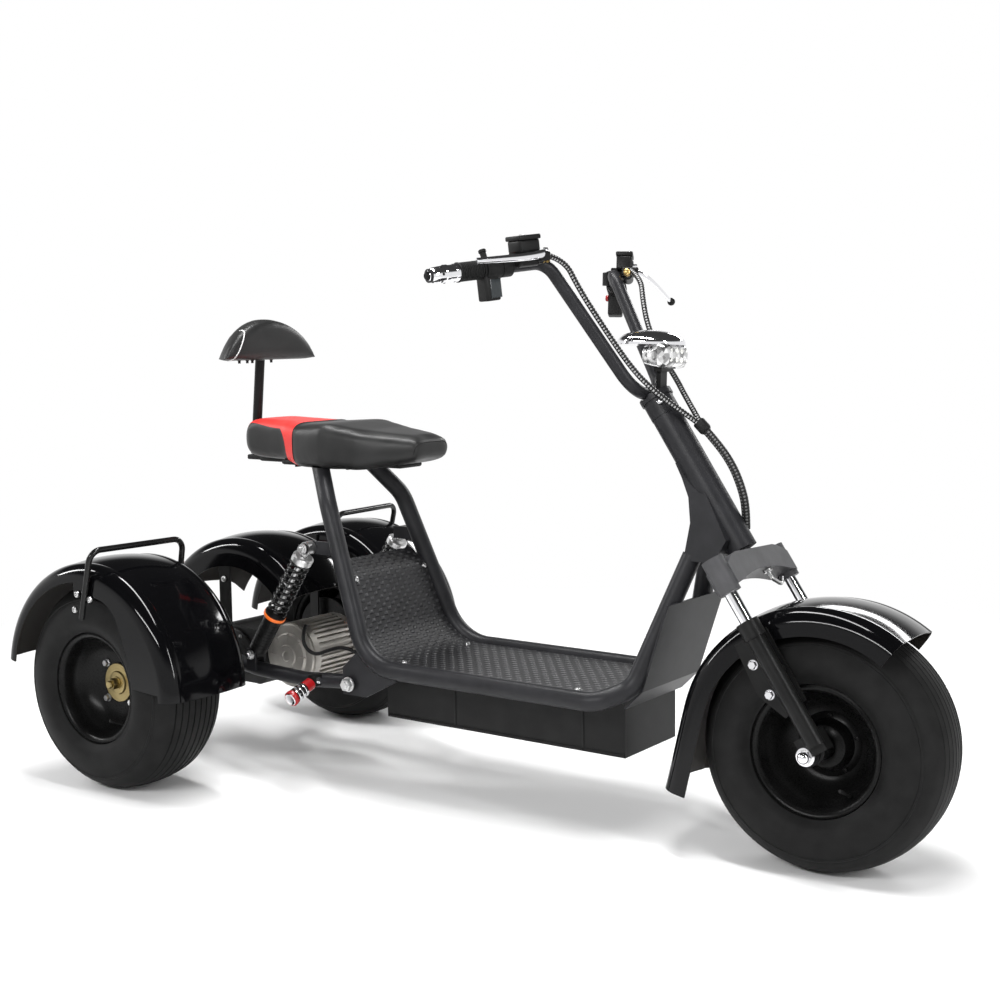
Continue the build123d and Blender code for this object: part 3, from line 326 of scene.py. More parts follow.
STEER_RAKE = math.radians(33.46)
STEER_WAY = Vector((-math.sin(STEER_RAKE), 0, math.cos(STEER_RAKE)))
STEER_FORE = Vector((math.cos(STEER_RAKE), 0, math.sin(STEER_RAKE)))
STEER_FOOT = Vector((0.9605, 0, 0))
STEER_TURN = math.radians(5.56)
STEER = (Matrix.Translation(STEER_FOOT) @ Matrix.Rotation(STEER_TURN, 4, STEER_WAY)
         @ Matrix.Translation(-STEER_FOOT))
WHEEL_RADIUS = 0.2285
REAR_X = -0.717
FRONT_X = 0.766
REAR_AXLE = Vector((REAR_X, 0, WHEEL_RADIUS))
FRONT_AXLE = STEER @ Vector((FRONT_X, 0, WHEEL_RADIUS))
REAR_TRACK_HALF = 0.374
right_fender_paint = fender_paint("right_fender_paint", REAR_AXLE - Vector((0, REAR_TRACK_HALF, 0)))
left_fender_paint = fender_paint("left_fender_paint", REAR_AXLE + Vector((0, REAR_TRACK_HALF, 0)))
centre_fender_paint = fender_paint("centre_fender_paint", Vector((REAR_X + 0.055, 0, 0.255)))
front_fender_paint = fender_paint("front_fender_paint", FRONT_AXLE)
print("front axle at", tuple(round(v, 4) for v in FRONT_AXLE))

# %% [markdown]
# The footboard is sheet metal pressed with small raised studs that stop a shoe from slipping. The product of
# two sine waves at right angles gives staggered rows of studs. One wave runs along X minus Z, so the rows
# keep their spacing where the sheet bends up to the seat. The studs are also a little paler, being rubbed.


# %% Make the footboard, lens and plait finishes
STUD_ROW = 0.024
STUD_COLUMN = 0.030


def tread_plate(name):
    """Grey paint with staggered rows of small raised studs."""
    mat, tree, shader = node_material(name)
    place = tree.nodes.new("ShaderNodeTexCoord")
    split = tree.nodes.new("ShaderNodeSeparateXYZ")
    tree.links.new(place.outputs["Object"], split.inputs[0])
    along = math_node(tree, "SUBTRACT", split.outputs["X"], split.outputs["Z"])
    rows = math_node(tree, "SINE", math_node(tree, "MULTIPLY", along, 2 * math.pi / STUD_ROW))
    bars = math_node(tree, "SINE", math_node(tree, "MULTIPLY", split.outputs["Y"], 2 * math.pi / STUD_COLUMN))
    height = map_range(tree, math_node(tree, "MULTIPLY", rows, bars), 0.05, 0.75)
    grain = noise_on_object(tree, 900.0)
    slow = noise_on_object(tree, 22.0)
    rubbed = math_node(tree, "ADD", math_node(tree, "MULTIPLY", height, 0.45),
                       math_node(tree, "MULTIPLY", slow, 0.5))
    paint = tint(tree, rubbed, grey(0.010, 0.08), grey(0.040, 0.08), 0.2, 0.8)
    tree.links.new(paint, shader.inputs["Base Color"])
    worn = math_node(tree, "SUBTRACT", map_range(tree, grain, 0.0, 1.0, 0.42, 0.56),
                     math_node(tree, "MULTIPLY", height, 0.14))
    tree.links.new(worn, shader.inputs["Roughness"])
    shader.inputs["Specular IOR Level"].default_value = 0.3
    relief = math_node(tree, "ADD", height, math_node(tree, "MULTIPLY", grain, 0.05))
    put_bump(tree, shader, relief, 1.0, 0.0022)
    return mat


def faceted(name):
    """Clear plastic over small mirror cells of different gloss and tilt; each cell's own grey is a painted
    reflection.
    """
    mat, tree, shader = node_material(name)
    place = tree.nodes.new("ShaderNodeTexCoord")
    cells = tree.nodes.new("ShaderNodeTexVoronoi")
    cells.inputs["Scale"].default_value = 95.0
    tree.links.new(place.outputs["Object"], cells.inputs["Vector"])
    split = tree.nodes.new("ShaderNodeSeparateXYZ")
    tree.links.new(cells.outputs["Color"], split.inputs[0])
    # Painted reflection: each mirror cell gets its own grey, from dark to pale, standing in for the dark or
    # light surroundings that it reflects.
    mirror_painted_reflection = tint(tree, split.outputs["X"], grey(0.10), grey(0.85), 0.15, 0.8)
    tree.links.new(mirror_painted_reflection, shader.inputs["Base Color"])
    tree.links.new(map_range(tree, split.outputs["Y"], 0.0, 1.0, 0.05, 0.25), shader.inputs["Roughness"])
    shader.inputs["Metallic"].default_value = 0.65
    shader.inputs["Coat Weight"].default_value = 1.0
    shader.inputs["Coat Roughness"].default_value = 0.03
    put_bump(tree, shader, split.outputs["Z"], 0.5, 0.0015)
    return mat


def braid(name, dark, light, cells_along, cells_round):
    """Plaited threads that follow a cable's own UV map."""
    mat, tree, shader = node_material(name)
    place = tree.nodes.new("ShaderNodeTexCoord")
    split = tree.nodes.new("ShaderNodeSeparateXYZ")
    tree.links.new(place.outputs["UV"], split.inputs[0])
    along = math_node(tree, "MULTIPLY", split.outputs["X"], 2 * math.pi * cells_along)
    round_ = math_node(tree, "MULTIPLY", split.outputs["Y"], 2 * math.pi * cells_round)
    one = math_node(tree, "SINE", math_node(tree, "ADD", along, round_))
    two = math_node(tree, "SINE", math_node(tree, "SUBTRACT", along, round_))
    weave = math_node(tree, "MULTIPLY", one, two)
    thread = map_range(tree, weave, 0.15, 0.5)
    tree.links.new(tint(tree, thread, dark, light, 0.4, 0.6), shader.inputs["Base Color"])
    shader.inputs["Roughness"].default_value = 0.6
    shader.inputs["Specular IOR Level"].default_value = 0.3
    put_bump(tree, shader, math_node(tree, "ABSOLUTE", weave), 0.5, 0.0006)
    return mat


footboard_paint = tread_plate("footboard_paint")
lens_facets = faceted("lens_facets")
print("materials", len(bpy.data.materials))

# %% Paint the carried-over nodes
NODE_FINISH = {
    "rim": rim_black, "tyre": rubber, "hub": zinc, "fork_sliders": satin_black, "stanchions": chrome,
    "front_axle": zinc, "fork_crown": crown_grey, "crown_hook": zinc, "stem": frame_paint,
    "handlebar": frame_paint, "grips": moulded_black, "bar_ends": chrome, "switch_pods": moulded_black,
    "master_cylinders": satin_black, "brake_levers": chrome, "headlight_housing": lens_facets,
    "headlight_lens": lens_facets, "headlight_visor": chrome, "headlight_bracket": satin_black,
    "rear_fender_right": right_fender_paint, "rear_fender_left": left_fender_paint,
    "centre_fender": centre_fender_paint, "front_fender": front_fender_paint,
    "front_fender_stays": satin_black, "fender_stays": satin_black, "fender_rails": spring_gloss,
    "main_hoop": frame_paint, "head_tube": frame_paint, "head_gusset": frame_paint,
    "footboard": footboard_paint,
    "deck_crossbars": frame_paint, "battery_box": satin_black, "splash_panel": frame_paint,
    "pivot_plates": frame_paint, "swingarm": frame_paint, "axle_housing": satin_black, "gearbox": dark_cast,
    "motor": warm_cast, "shock_bodies": satin_black, "shock_rods": zinc, "shock_springs": spring_gloss,
    "shock_mounts": frame_paint, "seat_base": moulded_black, "saddle": moulded_black,
    "backrest_post": satin_black, "backrest_pad": moulded_black, "footpegs": zinc, "tail_light": red_gloss,
    "cable": moulded_black,
}


def finish_for(name):
    """The finish of the longest key that a node's name contains."""
    keys = [k for k in NODE_FINISH if k in name]
    return NODE_FINISH[max(keys, key=len)]


for name, node in nodes.items():
    node.data.materials.clear()
    node.data.materials.append(finish_for(name))
print("painted", len(nodes), "nodes")

# %% [markdown]
# ## Helpers for making pieces
# Most small pieces on a scooter are turned or cut from bar, so the main helper is a lathe: a line of
# points is spun about an axis. Every part is made at nought, pointing up, cleaned while it is still alone,
# and then moved to its place and added to the piece. Places are in millimetres from the rear axle's line
# on the ground, as they were measured; steered pieces are made straight ahead and turned at the end.


# %% Places
def at(x, y, z):
    """A place in millimetres from the rear axle, as metres in the scene."""
    return Vector((REAR_X + x / 1000, y / 1000, z / 1000))


def on_fork(s, y, e):
    """A place s up the steering axis, y across and e ahead of it, in millimetres, with the wheel straight."""
    return STEER_FOOT + STEER_WAY * s / 1000 + STEER_FORE * e / 1000 + Vector((0, y / 1000, 0))


def pointing(place, way):
    """The matrix that sets a part made along Z at a place, along a way."""
    return Matrix.Translation(place) @ Vector(way).to_track_quat("Z", "Y").to_matrix().to_4x4()


# %% Shape and join parts
def join(bm, part, matrix=None, mat=0):
    """Clean a part, move it to its place and add it to the piece."""
    bmesh.ops.remove_doubles(part, verts=part.verts, dist=1e-6)
    bmesh.ops.recalc_face_normals(part, faces=part.faces)
    if matrix is not None:
        bmesh.ops.transform(part, matrix=matrix, verts=part.verts)
    for face in part.faces:
        face.material_index = mat
    mesh = bpy.data.meshes.new("part")
    part.to_mesh(mesh)
    part.free()
    bm.from_mesh(mesh)
    bpy.data.meshes.remove(mesh)


def lathe(bm, profile, matrix, steps=32, mat=0):
    """Spin a line of (radius, height) millimetres about Z and put the shape at the matrix."""
    part = bmesh.new()
    line = [part.verts.new((r / 1000, 0, h / 1000)) for r, h in profile]
    edges = [part.edges.new(pair) for pair in zip(line, line[1:])]
    bmesh.ops.spin(part, geom=line + edges, cent=(0, 0, 0), axis=(0, 0, 1), angle=2 * math.pi, steps=steps,
                   use_merge=True)
    join(bm, part, matrix, mat)


def box_part(bm, size, matrix, edge=1.0, mat=0, segments=2):
    """A block of the given millimetres with rounded edges."""
    part = bmesh.new()
    bmesh.ops.create_cube(part, size=1.0)
    bmesh.ops.scale(part, vec=Vector(size) / 1000, verts=part.verts)
    bmesh.ops.bevel(part, geom=part.edges[:], offset=edge / 1000, segments=segments, affect="EDGES",
                    profile=0.5, material=-1)
    join(bm, part, matrix, mat)


def make_piece(name, bm, body, mats, replaces=(), sharp=35.0, steered=False):
    """Turn a bmesh into a finished piece that rides on a body."""
    if steered:
        bmesh.ops.transform(bm, matrix=STEER, verts=bm.verts)
    mesh = bpy.data.meshes.new(name)
    bm.to_mesh(mesh)
    bm.free()
    for mat in mats:
        mesh.materials.append(mat)
    mesh.shade_smooth()
    mesh.set_sharp_from_angle(angle=math.radians(sharp))
    piece = bpy.data.objects.new(name, mesh)
    scene.collection.objects.link(piece)
    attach(piece, body)
    if replaces:
        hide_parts(*replaces)
    print(name, len(mesh.polygons), "faces")
    return piece


# %% Bolts and nuts
def hex_head(bm, matrix, across, height, washer=1.5, mat=0):
    """A hexagon head on a washer, across the flats in millimetres."""
    r = across / 2
    corner = r / math.cos(math.pi / 6)
    lathe(bm, [(0, -0.5), (r * 1.32, -0.5), (r * 1.32, washer), (0, washer)], matrix, 24, mat)
    lathe(bm, [(0, washer - 0.2), (corner, washer - 0.2), (corner, height * 0.82), (corner * 0.86, height),
               (0, height)], matrix, 6, mat)


def dome_head(bm, matrix, across, mat=0):
    """A domed head with a hexagon socket."""
    r = across / 2
    profile = [(0, -0.5), (r, -0.5), (r * 1.02, r * 0.15), (r * 0.85, r * 0.5), (r * 0.5, r * 0.68)]
    profile += [(r * 0.46, r * 0.68), (r * 0.42, r * 0.3), (0, r * 0.28)]
    lathe(bm, profile, matrix, 18, mat)


def castle_nut(bm, matrix, across, height, stud, mat=0):
    """A hexagon nut with the end of its stud standing out of it."""
    hex_head(bm, matrix, across, height, 2.0, mat)
    lathe(bm, [(0, 0), (across * 0.33, 0), (across * 0.33, height + stud - 1), (across * 0.29, height + stud),
               (0, height + stud)], matrix, 20, mat)


def line_mesh(name, points, radius, sides=10):
    """A round tube along a smooth NURBS line, as a bmesh with UVs: U along in metres, V around."""
    curve = bpy.data.curves.new(name, "CURVE")
    curve.dimensions = "3D"
    curve.resolution_u = 16
    spline = curve.splines.new("NURBS")
    spline.points.add(len(points) - 1)
    for point, place in zip(spline.points, points):
        point.co = (*place, 1)
    spline.order_u = 3
    spline.use_endpoint_u = True
    guide = bpy.data.objects.new(name, curve)
    mesh = bpy.data.meshes.new_from_object(guide)
    line = [v.co.copy() for v in mesh.vertices]
    bpy.data.objects.remove(guide)
    bpy.data.curves.remove(curve)
    bpy.data.meshes.remove(mesh)
    return sweep(line, radius, sides), line


def line_length(line):
    """The length of a line of places."""
    return sum((b - a).length for a, b in zip(line, line[1:]))


def sweep(line, radius, sides):
    """Carry a circle along a line of places by extruding it from each to the next."""
    bm = bmesh.new()
    uv = bm.loops.layers.uv.new("UVMap")
    normal = (line[1] - line[0]).orthogonal().normalized()
    ring = bmesh.ops.create_circle(bm, segments=sides, radius=radius)["verts"]
    shape = [v.co.copy() for v in ring]
    before = None
    length = 0.0
    for i, place in enumerate(line):
        ahead = (line[min(i + 1, len(line) - 1)] - line[max(i - 1, 0)]).normalized()
        normal = (normal - ahead * normal.dot(ahead)).normalized()
        side = ahead.cross(normal)
        if i:
            edges = [bm.edges.get((ring[k], ring[(k + 1) % sides])) for k in range(sides)]
            new = bmesh.ops.extrude_edge_only(bm, edges=edges)["geom"]
            step = (place - line[i - 1]).length
            order = {}
            for face in (g for g in new if isinstance(g, bmesh.types.BMFace)):
                old = [v for v in face.verts if v in ring]
                for v in face.verts:
                    if v not in ring:
                        order[next(e.other_vert(v) for e in v.link_edges if e.other_vert(v) in old)] = v
                for loop in face.loops:
                    k = ring.index(loop.vert) if loop.vert in ring else None
                    if k is None:
                        k = ring.index(next(o for o, n in order.items() if n is loop.vert))
                        loop[uv].uv.x = length + step
                    else:
                        loop[uv].uv.x = length
                    others = [ring.index(v) for v in old]
                    loop[uv].uv.y = 1.0 if k == 0 and sides - 1 in others else k / sides
            ring = [order[v] for v in ring]
            length += step
        for v, flat in zip(ring, shape):
            v.co = place + normal * flat.x + side * flat.y
        if i == 0:
            before = list(ring)
    bm.faces.new(list(reversed(before)))
    bm.faces.new(ring)
    bmesh.ops.recalc_face_normals(bm, faces=bm.faces)
    return bm


print("helpers ready")

# %% [markdown]
# ## Cables
# Two plaited sleeves carry the control cables from the bar past the lamp to the steering head, and meet
# there in one loom that dips into the frame behind the fork. The sleeves ride with the bar. The real cables
# turn with the bar at their upper end and are held by the frame at their lower end; the loom here is set
# once, at rest, each of its points turned by its share of the bar's rest turn, from all of it at the upper
# end to none at the lower, and it rides on no body. Each is a NURBS line through the route's points with a
# circle carried along it, which gives a UV map that the plait can follow.

# %% Make the sleeves and the loom
CABLE_ROUTES = {
    # mm from the rear axle, from the controls to the place where the sleeves meet
    "cable_sleeve_right": [(954, -165.5, 1112), (972, -116, 1108), (1000, -106, 1052), (1040, -88, 986),
                           (1092, -62, 904), (1134, -50, 862), (1170, -26, 832)],
    "cable_sleeve_left": [(969.6, 172, 1108), (1004, 150, 1090), (1022, 124, 1046), (1042, 106, 994),
                          (1078, 88, 938), (1124, 66, 891), (1162, 36, 850)],
}
MEET = (930.3, 50)
MEET_HALF = {"cable_sleeve_right": -6.2, "cable_sleeve_left": 6.2}
BOOT = [(0, -2), (11.5, -2), (12.2, 0), (12.2, 17), (10.6, 21), (8.2, 23.5), (0, 23.5)]
LOOM_ROUTE = [
    # up the steering axis, across, ahead, share of the rest turn
    (930, 0, 50, 1.0), (880, 0, 61, 1.0), (830, 2, 65.5, 0.7), (785, 6, 58.5, 0.3), (748, 15, 42, 0.0),
    (716, 24, 16, 0.0),
]
SLEEVE_RADIUS = 0.0055
LOOM_RADIUS = 0.008


def straight_ahead_share(share):
    """The turn about the steering axis by a share of the rest turn."""
    return (Matrix.Translation(STEER_FOOT) @ Matrix.Rotation(STEER_TURN * share, 4, STEER_WAY)
            @ Matrix.Translation(-STEER_FOOT))


sleeve_braid = braid("sleeve_braid", grey(0.005), grey(0.34), 80, 2)
loom_braid = braid("loom_braid", grey(0.005), grey(0.12), 80, 3)
for name, route in CABLE_ROUTES.items():
    points = [at(*p) for p in route] + [on_fork(MEET[0], MEET_HALF[name], MEET[1])]
    bm, line = line_mesh(name, points, SLEEVE_RADIUS, 12)
    make_piece(name + "_braid", bm, "steering", [sleeve_braid], [name], 60, steered=True)
    print(name, "length", round(line_length(line), 3), "m")

loom_points = [straight_ahead_share(share) @ on_fork(s, y, e) for s, y, e, share in LOOM_ROUTE]
bm, line = line_mesh("cable_loom", loom_points, LOOM_RADIUS, 16)
way_down = (loom_points[1] - loom_points[0]).normalized()
lathe(bm, BOOT, pointing(loom_points[0], way_down), 24, 1)
mesh = bpy.data.meshes.new("loom_braided")
bm.to_mesh(mesh)
bm.free()
mesh.materials.append(loom_braid)
mesh.materials.append(moulded_black)
mesh.shade_smooth()
mesh.set_sharp_from_angle(angle=math.radians(60))
loom = bpy.data.objects.new("loom_braided", mesh)
scene.collection.objects.link(loom)
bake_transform(loom)
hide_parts("cable_loom")
print("loom length", round(line_length(line), 3), "m")

# %% [markdown]
# ## Wheels
# The tyres are wide and round, with eight plain grooves that run right round the tread, broken by small
# tie bars, and a raised rib where the tread meets the wall. A tyre is one closed outline spun about the
# axle, so every groove is real geometry and shows at the edge of the tyre. The rims are pressed steel: a
# rounded lip, a barrel and a deep dish down to the disc.

# %% Spin the tyres
WALL = [(80, 119.5), (84, 121), (89, 121.5), (91, 124), (94, 127), (99, 133), (102, 138), (103.6, 144),
        (104, 150), (103.8, 156), (103, 163), (101.5, 170), (99, 178), (96, 186), (93.8, 190.5), (94.6, 192),
        (93, 195), (90.5, 196), (88.5, 199.5), (85, 203), (78, 209.5), (71, 214.5), (65, 217.6), (62.5, 219)]
INNER = [(76, 122), (86, 136), (90, 160), (80, 190), (55, 206), (0, 212)]
GROOVES = (8.0, 24.0, 40.0, 55.5)
GROOVE_HALF = 1.5
GROOVE_DEEP = 5.0
TYRE_STEPS = 144
TIE_EVERY = 12
TIE_SHIFT = 4
TIE_RISE = 0.0028
TREAD_RADIUS = 228.5
RIM_STEPS = 96


def crown(y):
    """Radius of the tread at y across it."""
    return TREAD_RADIUS - 8.0 * (y / 60) ** 2


def tyre_outline():
    """(y, radius) once round the rubber, and which points lie on a groove's floor."""
    half = []
    for y in GROOVES:
        half += [(y - GROOVE_HALF - 0.5, crown(y), 0), (y - GROOVE_HALF, crown(y) - 0.7, 0),
                 (y - GROOVE_HALF * 0.6, crown(y) - GROOVE_DEEP, 1),
                 (y + GROOVE_HALF * 0.6, crown(y) - GROOVE_DEEP, 1),
                 (y + GROOVE_HALF, crown(y) - 0.7, 0), (y + GROOVE_HALF + 0.5, crown(y), 0)]
    half += [(y, r, 0) for y, r in reversed(WALL)]
    half += [(y, r, 0) for y, r in INNER]
    mirror = [(-y, r, deep) for y, r, deep in reversed(half) if y]
    return half + mirror


def spun_ring(outline, middle, steps):
    """Spin a closed outline of (y, radius, mark) about the axle at middle; returns the bmesh."""
    bm = bmesh.new()
    marks = {}
    ring = []
    for y, r, mark in outline:
        vert = bm.verts.new((0, y / 1000, r / 1000))
        ring.append(vert)
        marks[(round(y, 3), round(r, 3))] = mark
    edges = [bm.edges.new(pair) for pair in zip(ring, ring[1:] + ring[:1])]
    bmesh.ops.spin(bm, geom=ring + edges, cent=(0, 0, 0), axis=(0, 1, 0), angle=2 * math.pi, steps=steps,
                   use_merge=True)
    bmesh.ops.remove_doubles(bm, verts=bm.verts, dist=1e-6)
    bmesh.ops.recalc_face_normals(bm, faces=bm.faces)
    for vert in bm.verts:
        r = math.hypot(vert.co.x, vert.co.z)
        if marks.get((round(vert.co.y * 1000, 3), round(r * 1000, 3))):
            step = round(math.atan2(vert.co.x, vert.co.z) / (2 * math.pi) * steps) % steps
            shift = TIE_SHIFT if abs(vert.co.y) > 0.03 else 0
            if (step + shift) % TIE_EVERY == 0:
                vert.co *= Vector((1 + TIE_RISE / r, 1, 1 + TIE_RISE / r))
    bmesh.ops.translate(bm, vec=middle, verts=bm.verts)
    return bm


WHEELS = {
    # wheel: body, middle, which way the outside faces, turned with the bar
    "rear_right": ("rear_right_wheel", REAR_AXLE - Vector((0, REAR_TRACK_HALF, 0)), -1, False),
    "rear_left": ("rear_left_wheel", REAR_AXLE + Vector((0, REAR_TRACK_HALF, 0)), 1, False),
    "front": ("front_wheel", Vector((FRONT_X, 0, WHEEL_RADIUS)), -1, True),
}
for wheel, (body, middle, side, steered) in WHEELS.items():
    bm = spun_ring(tyre_outline(), middle, TYRE_STEPS)
    make_piece(wheel + "_tyre_rubber", bm, body, [rubber], [wheel + "_tyre"], 30, steered)

# %% [markdown]
# Each rear rim is dished on its outer side; the front rim is the same from both sides. The outline is
# closed and runs from the hub's edge out along the dish, round the lip, across under the tyre and back.

# %% Spin the rims
LIP = [(78, 106.5), (83, 109), (86.5, 112.5), (87.5, 116), (86, 119.2), (82, 120.4), (77, 120.0), (71, 112.5)]
DISH = [(16, 30), (16, 50), (17.5, 60), (22, 72), (30, 84), (41, 94), (52, 99.5), (54, 101.5), (66, 104.5)]
BACK = [(66, 104.5), (54, 101.5), (52, 99.5), (20, 98), (8, 93), (11.5, 76), (12.6, 60), (12.6, 30)]
FRONT_DISH = [(2.2, 30), (2.2, 52), (4, 62), (9, 72), (18, 82), (32, 92), (52, 99.5), (54, 101.5), (66, 104.5)]
for wheel, (body, middle, side, steered) in WHEELS.items():
    if steered:
        outline = FRONT_DISH + LIP
        outline += [(-y, r) for y, r in reversed(outline)]
    else:
        outline = DISH + LIP + [(-y, r) for y, r in reversed(LIP)] + [(-y if r > 95 else y, r) for y, r in BACK]
        outline = [(y * side, r) for y, r in outline]
    bm = spun_ring([(y, r, 0) for y, r in outline], middle, RIM_STEPS)
    make_piece(wheel + "_rim_steel", bm, body, [rim_black], [wheel + "_rim"], 35, steered)

# %% [markdown]
# The rear hubs carry a yellow plated disc, a castle nut and four bolts; behind the rim is a brake drum.
# The front hub is black with a step on each side.

# %% Turn the hubs
REAR_HUB = [(0, -106), (27, -106), (28, -100), (88, -100), (88, -95), (84, -92), (80, -60), (62, -50),
            (58, -18), (62, -4), (60, 4), (46, 12), (44, 18), (0, 18)]
PLATE = [(0, 17), (42, 17), (42.5, 18), (42.5, 20.5), (41.5, 21.5), (26, 21.5), (24, 25), (18, 26), (0, 26)]
BOLT_CIRCLE = 55
HUB_BOLTS = 4
FRONT_HUB_HALF = [(0, 0), (60, 0), (60, 3.5), (56, 7), (48, 10), (44, 26), (38, 33), (26, 36), (22, 40),
                  (20, 92), (14, 95), (0, 95)]
FRONT_HUB_BOLTS = 5
for wheel, (body, middle, side, steered) in WHEELS.items():
    if steered:
        continue
    bm = bmesh.new()
    outward = pointing(middle, (0, side, 0))
    lathe(bm, REAR_HUB, outward, 64, 0)
    lathe(bm, PLATE, outward, 48, 1)
    hex_head(bm, outward @ Matrix.Translation((0, 0, 0.026)), 22, 14, 2, 1)
    lathe(bm, [(0, 38), (8.5, 38), (8.5, 47), (7, 49), (0, 49)], outward, 20, 1)
    for k in range(HUB_BOLTS):
        angle = math.radians(45 + 90 * k)
        spot = Vector((math.cos(angle), math.sin(angle), 0)) * BOLT_CIRCLE / 1000
        hex_head(bm, outward @ Matrix.Translation(spot + Vector((0, 0, 0.0165))), 13, 9, 2, 2)
    make_piece(wheel + "_hub_turned", bm, body, [rim_black, gold_zinc, zinc], [wheel + "_hub"])

bm = bmesh.new()
middle = WHEELS["front"][1]
for side in (-1, 1):
    lathe(bm, FRONT_HUB_HALF, pointing(middle, (0, side, 0)), 48, 0)
    for k in range(FRONT_HUB_BOLTS):
        angle = math.radians(18 + 72 * k)
        spot = Vector((math.cos(angle), math.sin(angle), 0)) * 0.053
        dome_head(bm, pointing(middle, (0, side, 0)) @ Matrix.Translation(spot + Vector((0, 0, 0.0085))), 9, 0)
make_piece("front_hub_turned", bm, "front_wheel", [rim_black], ["front_hub"], steered=True)

# %% Valves
VALVE = [(0, 0), (4.2, 0), (4.2, 2), (3.2, 4), (3.0, 22), (3.8, 23), (3.8, 31), (3, 32.5), (0, 32.5)]
for wheel, (body, middle, side, steered) in WHEELS.items():
    bm = bmesh.new()
    foot = middle + Vector((0.058, side * 0.060, -0.076))
    way = Vector((-0.25, side * 0.72, 0.33))
    lathe(bm, VALVE, pointing(foot, way), 16, 0)
    make_piece(wheel + "_valve", bm, body, [moulded_black], (), steered=steered)

# %% [markdown]
# ## Saddle and backrest
# Both are foam under sewn leathercloth. A cushion is made from the construction model's own solid: its
# copy is remeshed to even squares, drawn in a little, and blown up again as cloth under light pressure,
# which rounds the edges the way stretched cover does. Seams and piping come afterwards, because a remesh
# would swallow them. The saddle's red tail is one material with a mask, so that its edge is a clean sewn
# line on both the top and the sides.


# %% Make leathercloth
def leather(name, dark, light, red_mask=False):
    """Grained leathercloth; the tail may be red."""
    mat, tree, shader = node_material(name)
    place = tree.nodes.new("ShaderNodeTexCoord")
    pores = tree.nodes.new("ShaderNodeTexVoronoi")
    pores.inputs["Scale"].default_value = 620.0
    tree.links.new(place.outputs["Object"], pores.inputs["Vector"])
    slow = noise_on_object(tree, 16.0, 3.0)
    colour = tint(tree, slow, dark, light)
    creases = noise_on_object(tree, 26.0, 2.0)
    if red_mask:
        mix = tree.nodes.new("ShaderNodeMix")
        mix.data_type = "RGBA"
        tree.links.new(tail_mask(tree), mix.inputs["Factor"])
        tree.links.new(colour, mix.inputs[6])
        tree.links.new(tint(tree, slow, (0.60, 0.022, 0.020), (0.74, 0.040, 0.034)), mix.inputs[7])
        colour = mix.outputs[2]
    tree.links.new(colour, shader.inputs["Base Color"])
    tree.links.new(map_range(tree, slow, 0.2, 0.8, 0.36, 0.46), shader.inputs["Roughness"])
    shader.inputs["Specular IOR Level"].default_value = 0.28
    height = math_node(tree, "ADD", math_node(tree, "MULTIPLY", pores.outputs["Distance"], 0.12), creases)
    put_bump(tree, shader, height, 0.22, 0.0012)
    return mat


TAIL_FRONT = 255
TAIL_BACK = 90
PANEL_REACH = 134
PANEL_FLOOR = 650
PANEL_RISE = 143
PANEL_POWER = 3.6


def tail_mask(tree):
    """1 on the red tail: behind the seat's seam, above and ahead of the black side panels."""
    place = tree.nodes.new("ShaderNodeTexCoord")
    split = tree.nodes.new("ShaderNodeSeparateXYZ")
    tree.links.new(place.outputs["Object"], split.inputs[0])
    x = math_node(tree, "MULTIPLY", math_node(tree, "SUBTRACT", split.outputs["X"], REAR_X), 1000.0)
    z = math_node(tree, "MULTIPLY", split.outputs["Z"], 1000.0)
    y = math_node(tree, "MULTIPLY", math_node(tree, "ABSOLUTE", split.outputs["Y"]), 1000.0)
    tail = map_range(tree, x, TAIL_FRONT + 0.6, TAIL_FRONT - 0.6)
    powers = []
    for value, start, span in ((x, TAIL_BACK, PANEL_REACH), (z, PANEL_FLOOR, PANEL_RISE)):
        share = math_node(tree, "DIVIDE", math_node(tree, "SUBTRACT", value, start), span)
        powers.append(math_node(tree, "POWER", math_node(tree, "MAXIMUM", share, 0), PANEL_POWER))
    reach = math_node(tree, "ADD", *powers)
    past_panel = map_range(tree, reach, 0.985, 1.015)
    inside = math_node(tree, "SUBTRACT", math_node(tree, "ADD", math_node(tree, "MULTIPLY", x, 0.10), 60.0), y)
    top = math_node(tree, "MULTIPLY", map_range(tree, inside, -0.6, 0.6), map_range(tree, z, 768.0, 770.0))
    return math_node(tree, "MULTIPLY", tail, math_node(tree, "MAXIMUM", past_panel, top))


saddle_leather = leather("saddle_leather", grey(0.010), grey(0.018), red_mask=True)
pad_leather = leather("pad_leather", grey(0.009), grey(0.016))
print("leather done")

# %% Blow up the cushions
VOXEL = 0.005
DRAW_IN = 0.002
SWELL_CAP = 0.0035
AFTER_SMOOTH = 8
PRESSURE = 4.0
CLOTH_FRAMES = 20


def apply_modifiers(piece):
    """Make the modified mesh the piece's own."""
    graph = bpy.context.evaluated_depsgraph_get()
    mesh = bpy.data.meshes.new_from_object(piece.evaluated_get(graph))
    old = piece.data
    piece.modifiers.clear()
    piece.data = mesh
    bpy.data.meshes.remove(old)


def smooth_all(bm, times):
    """Draw every vertex half way to its neighbours, a number of times."""
    for _ in range(times):
        bmesh.ops.smooth_vert(bm, verts=bm.verts, factor=0.5, use_axis_x=True, use_axis_y=True, use_axis_z=True)


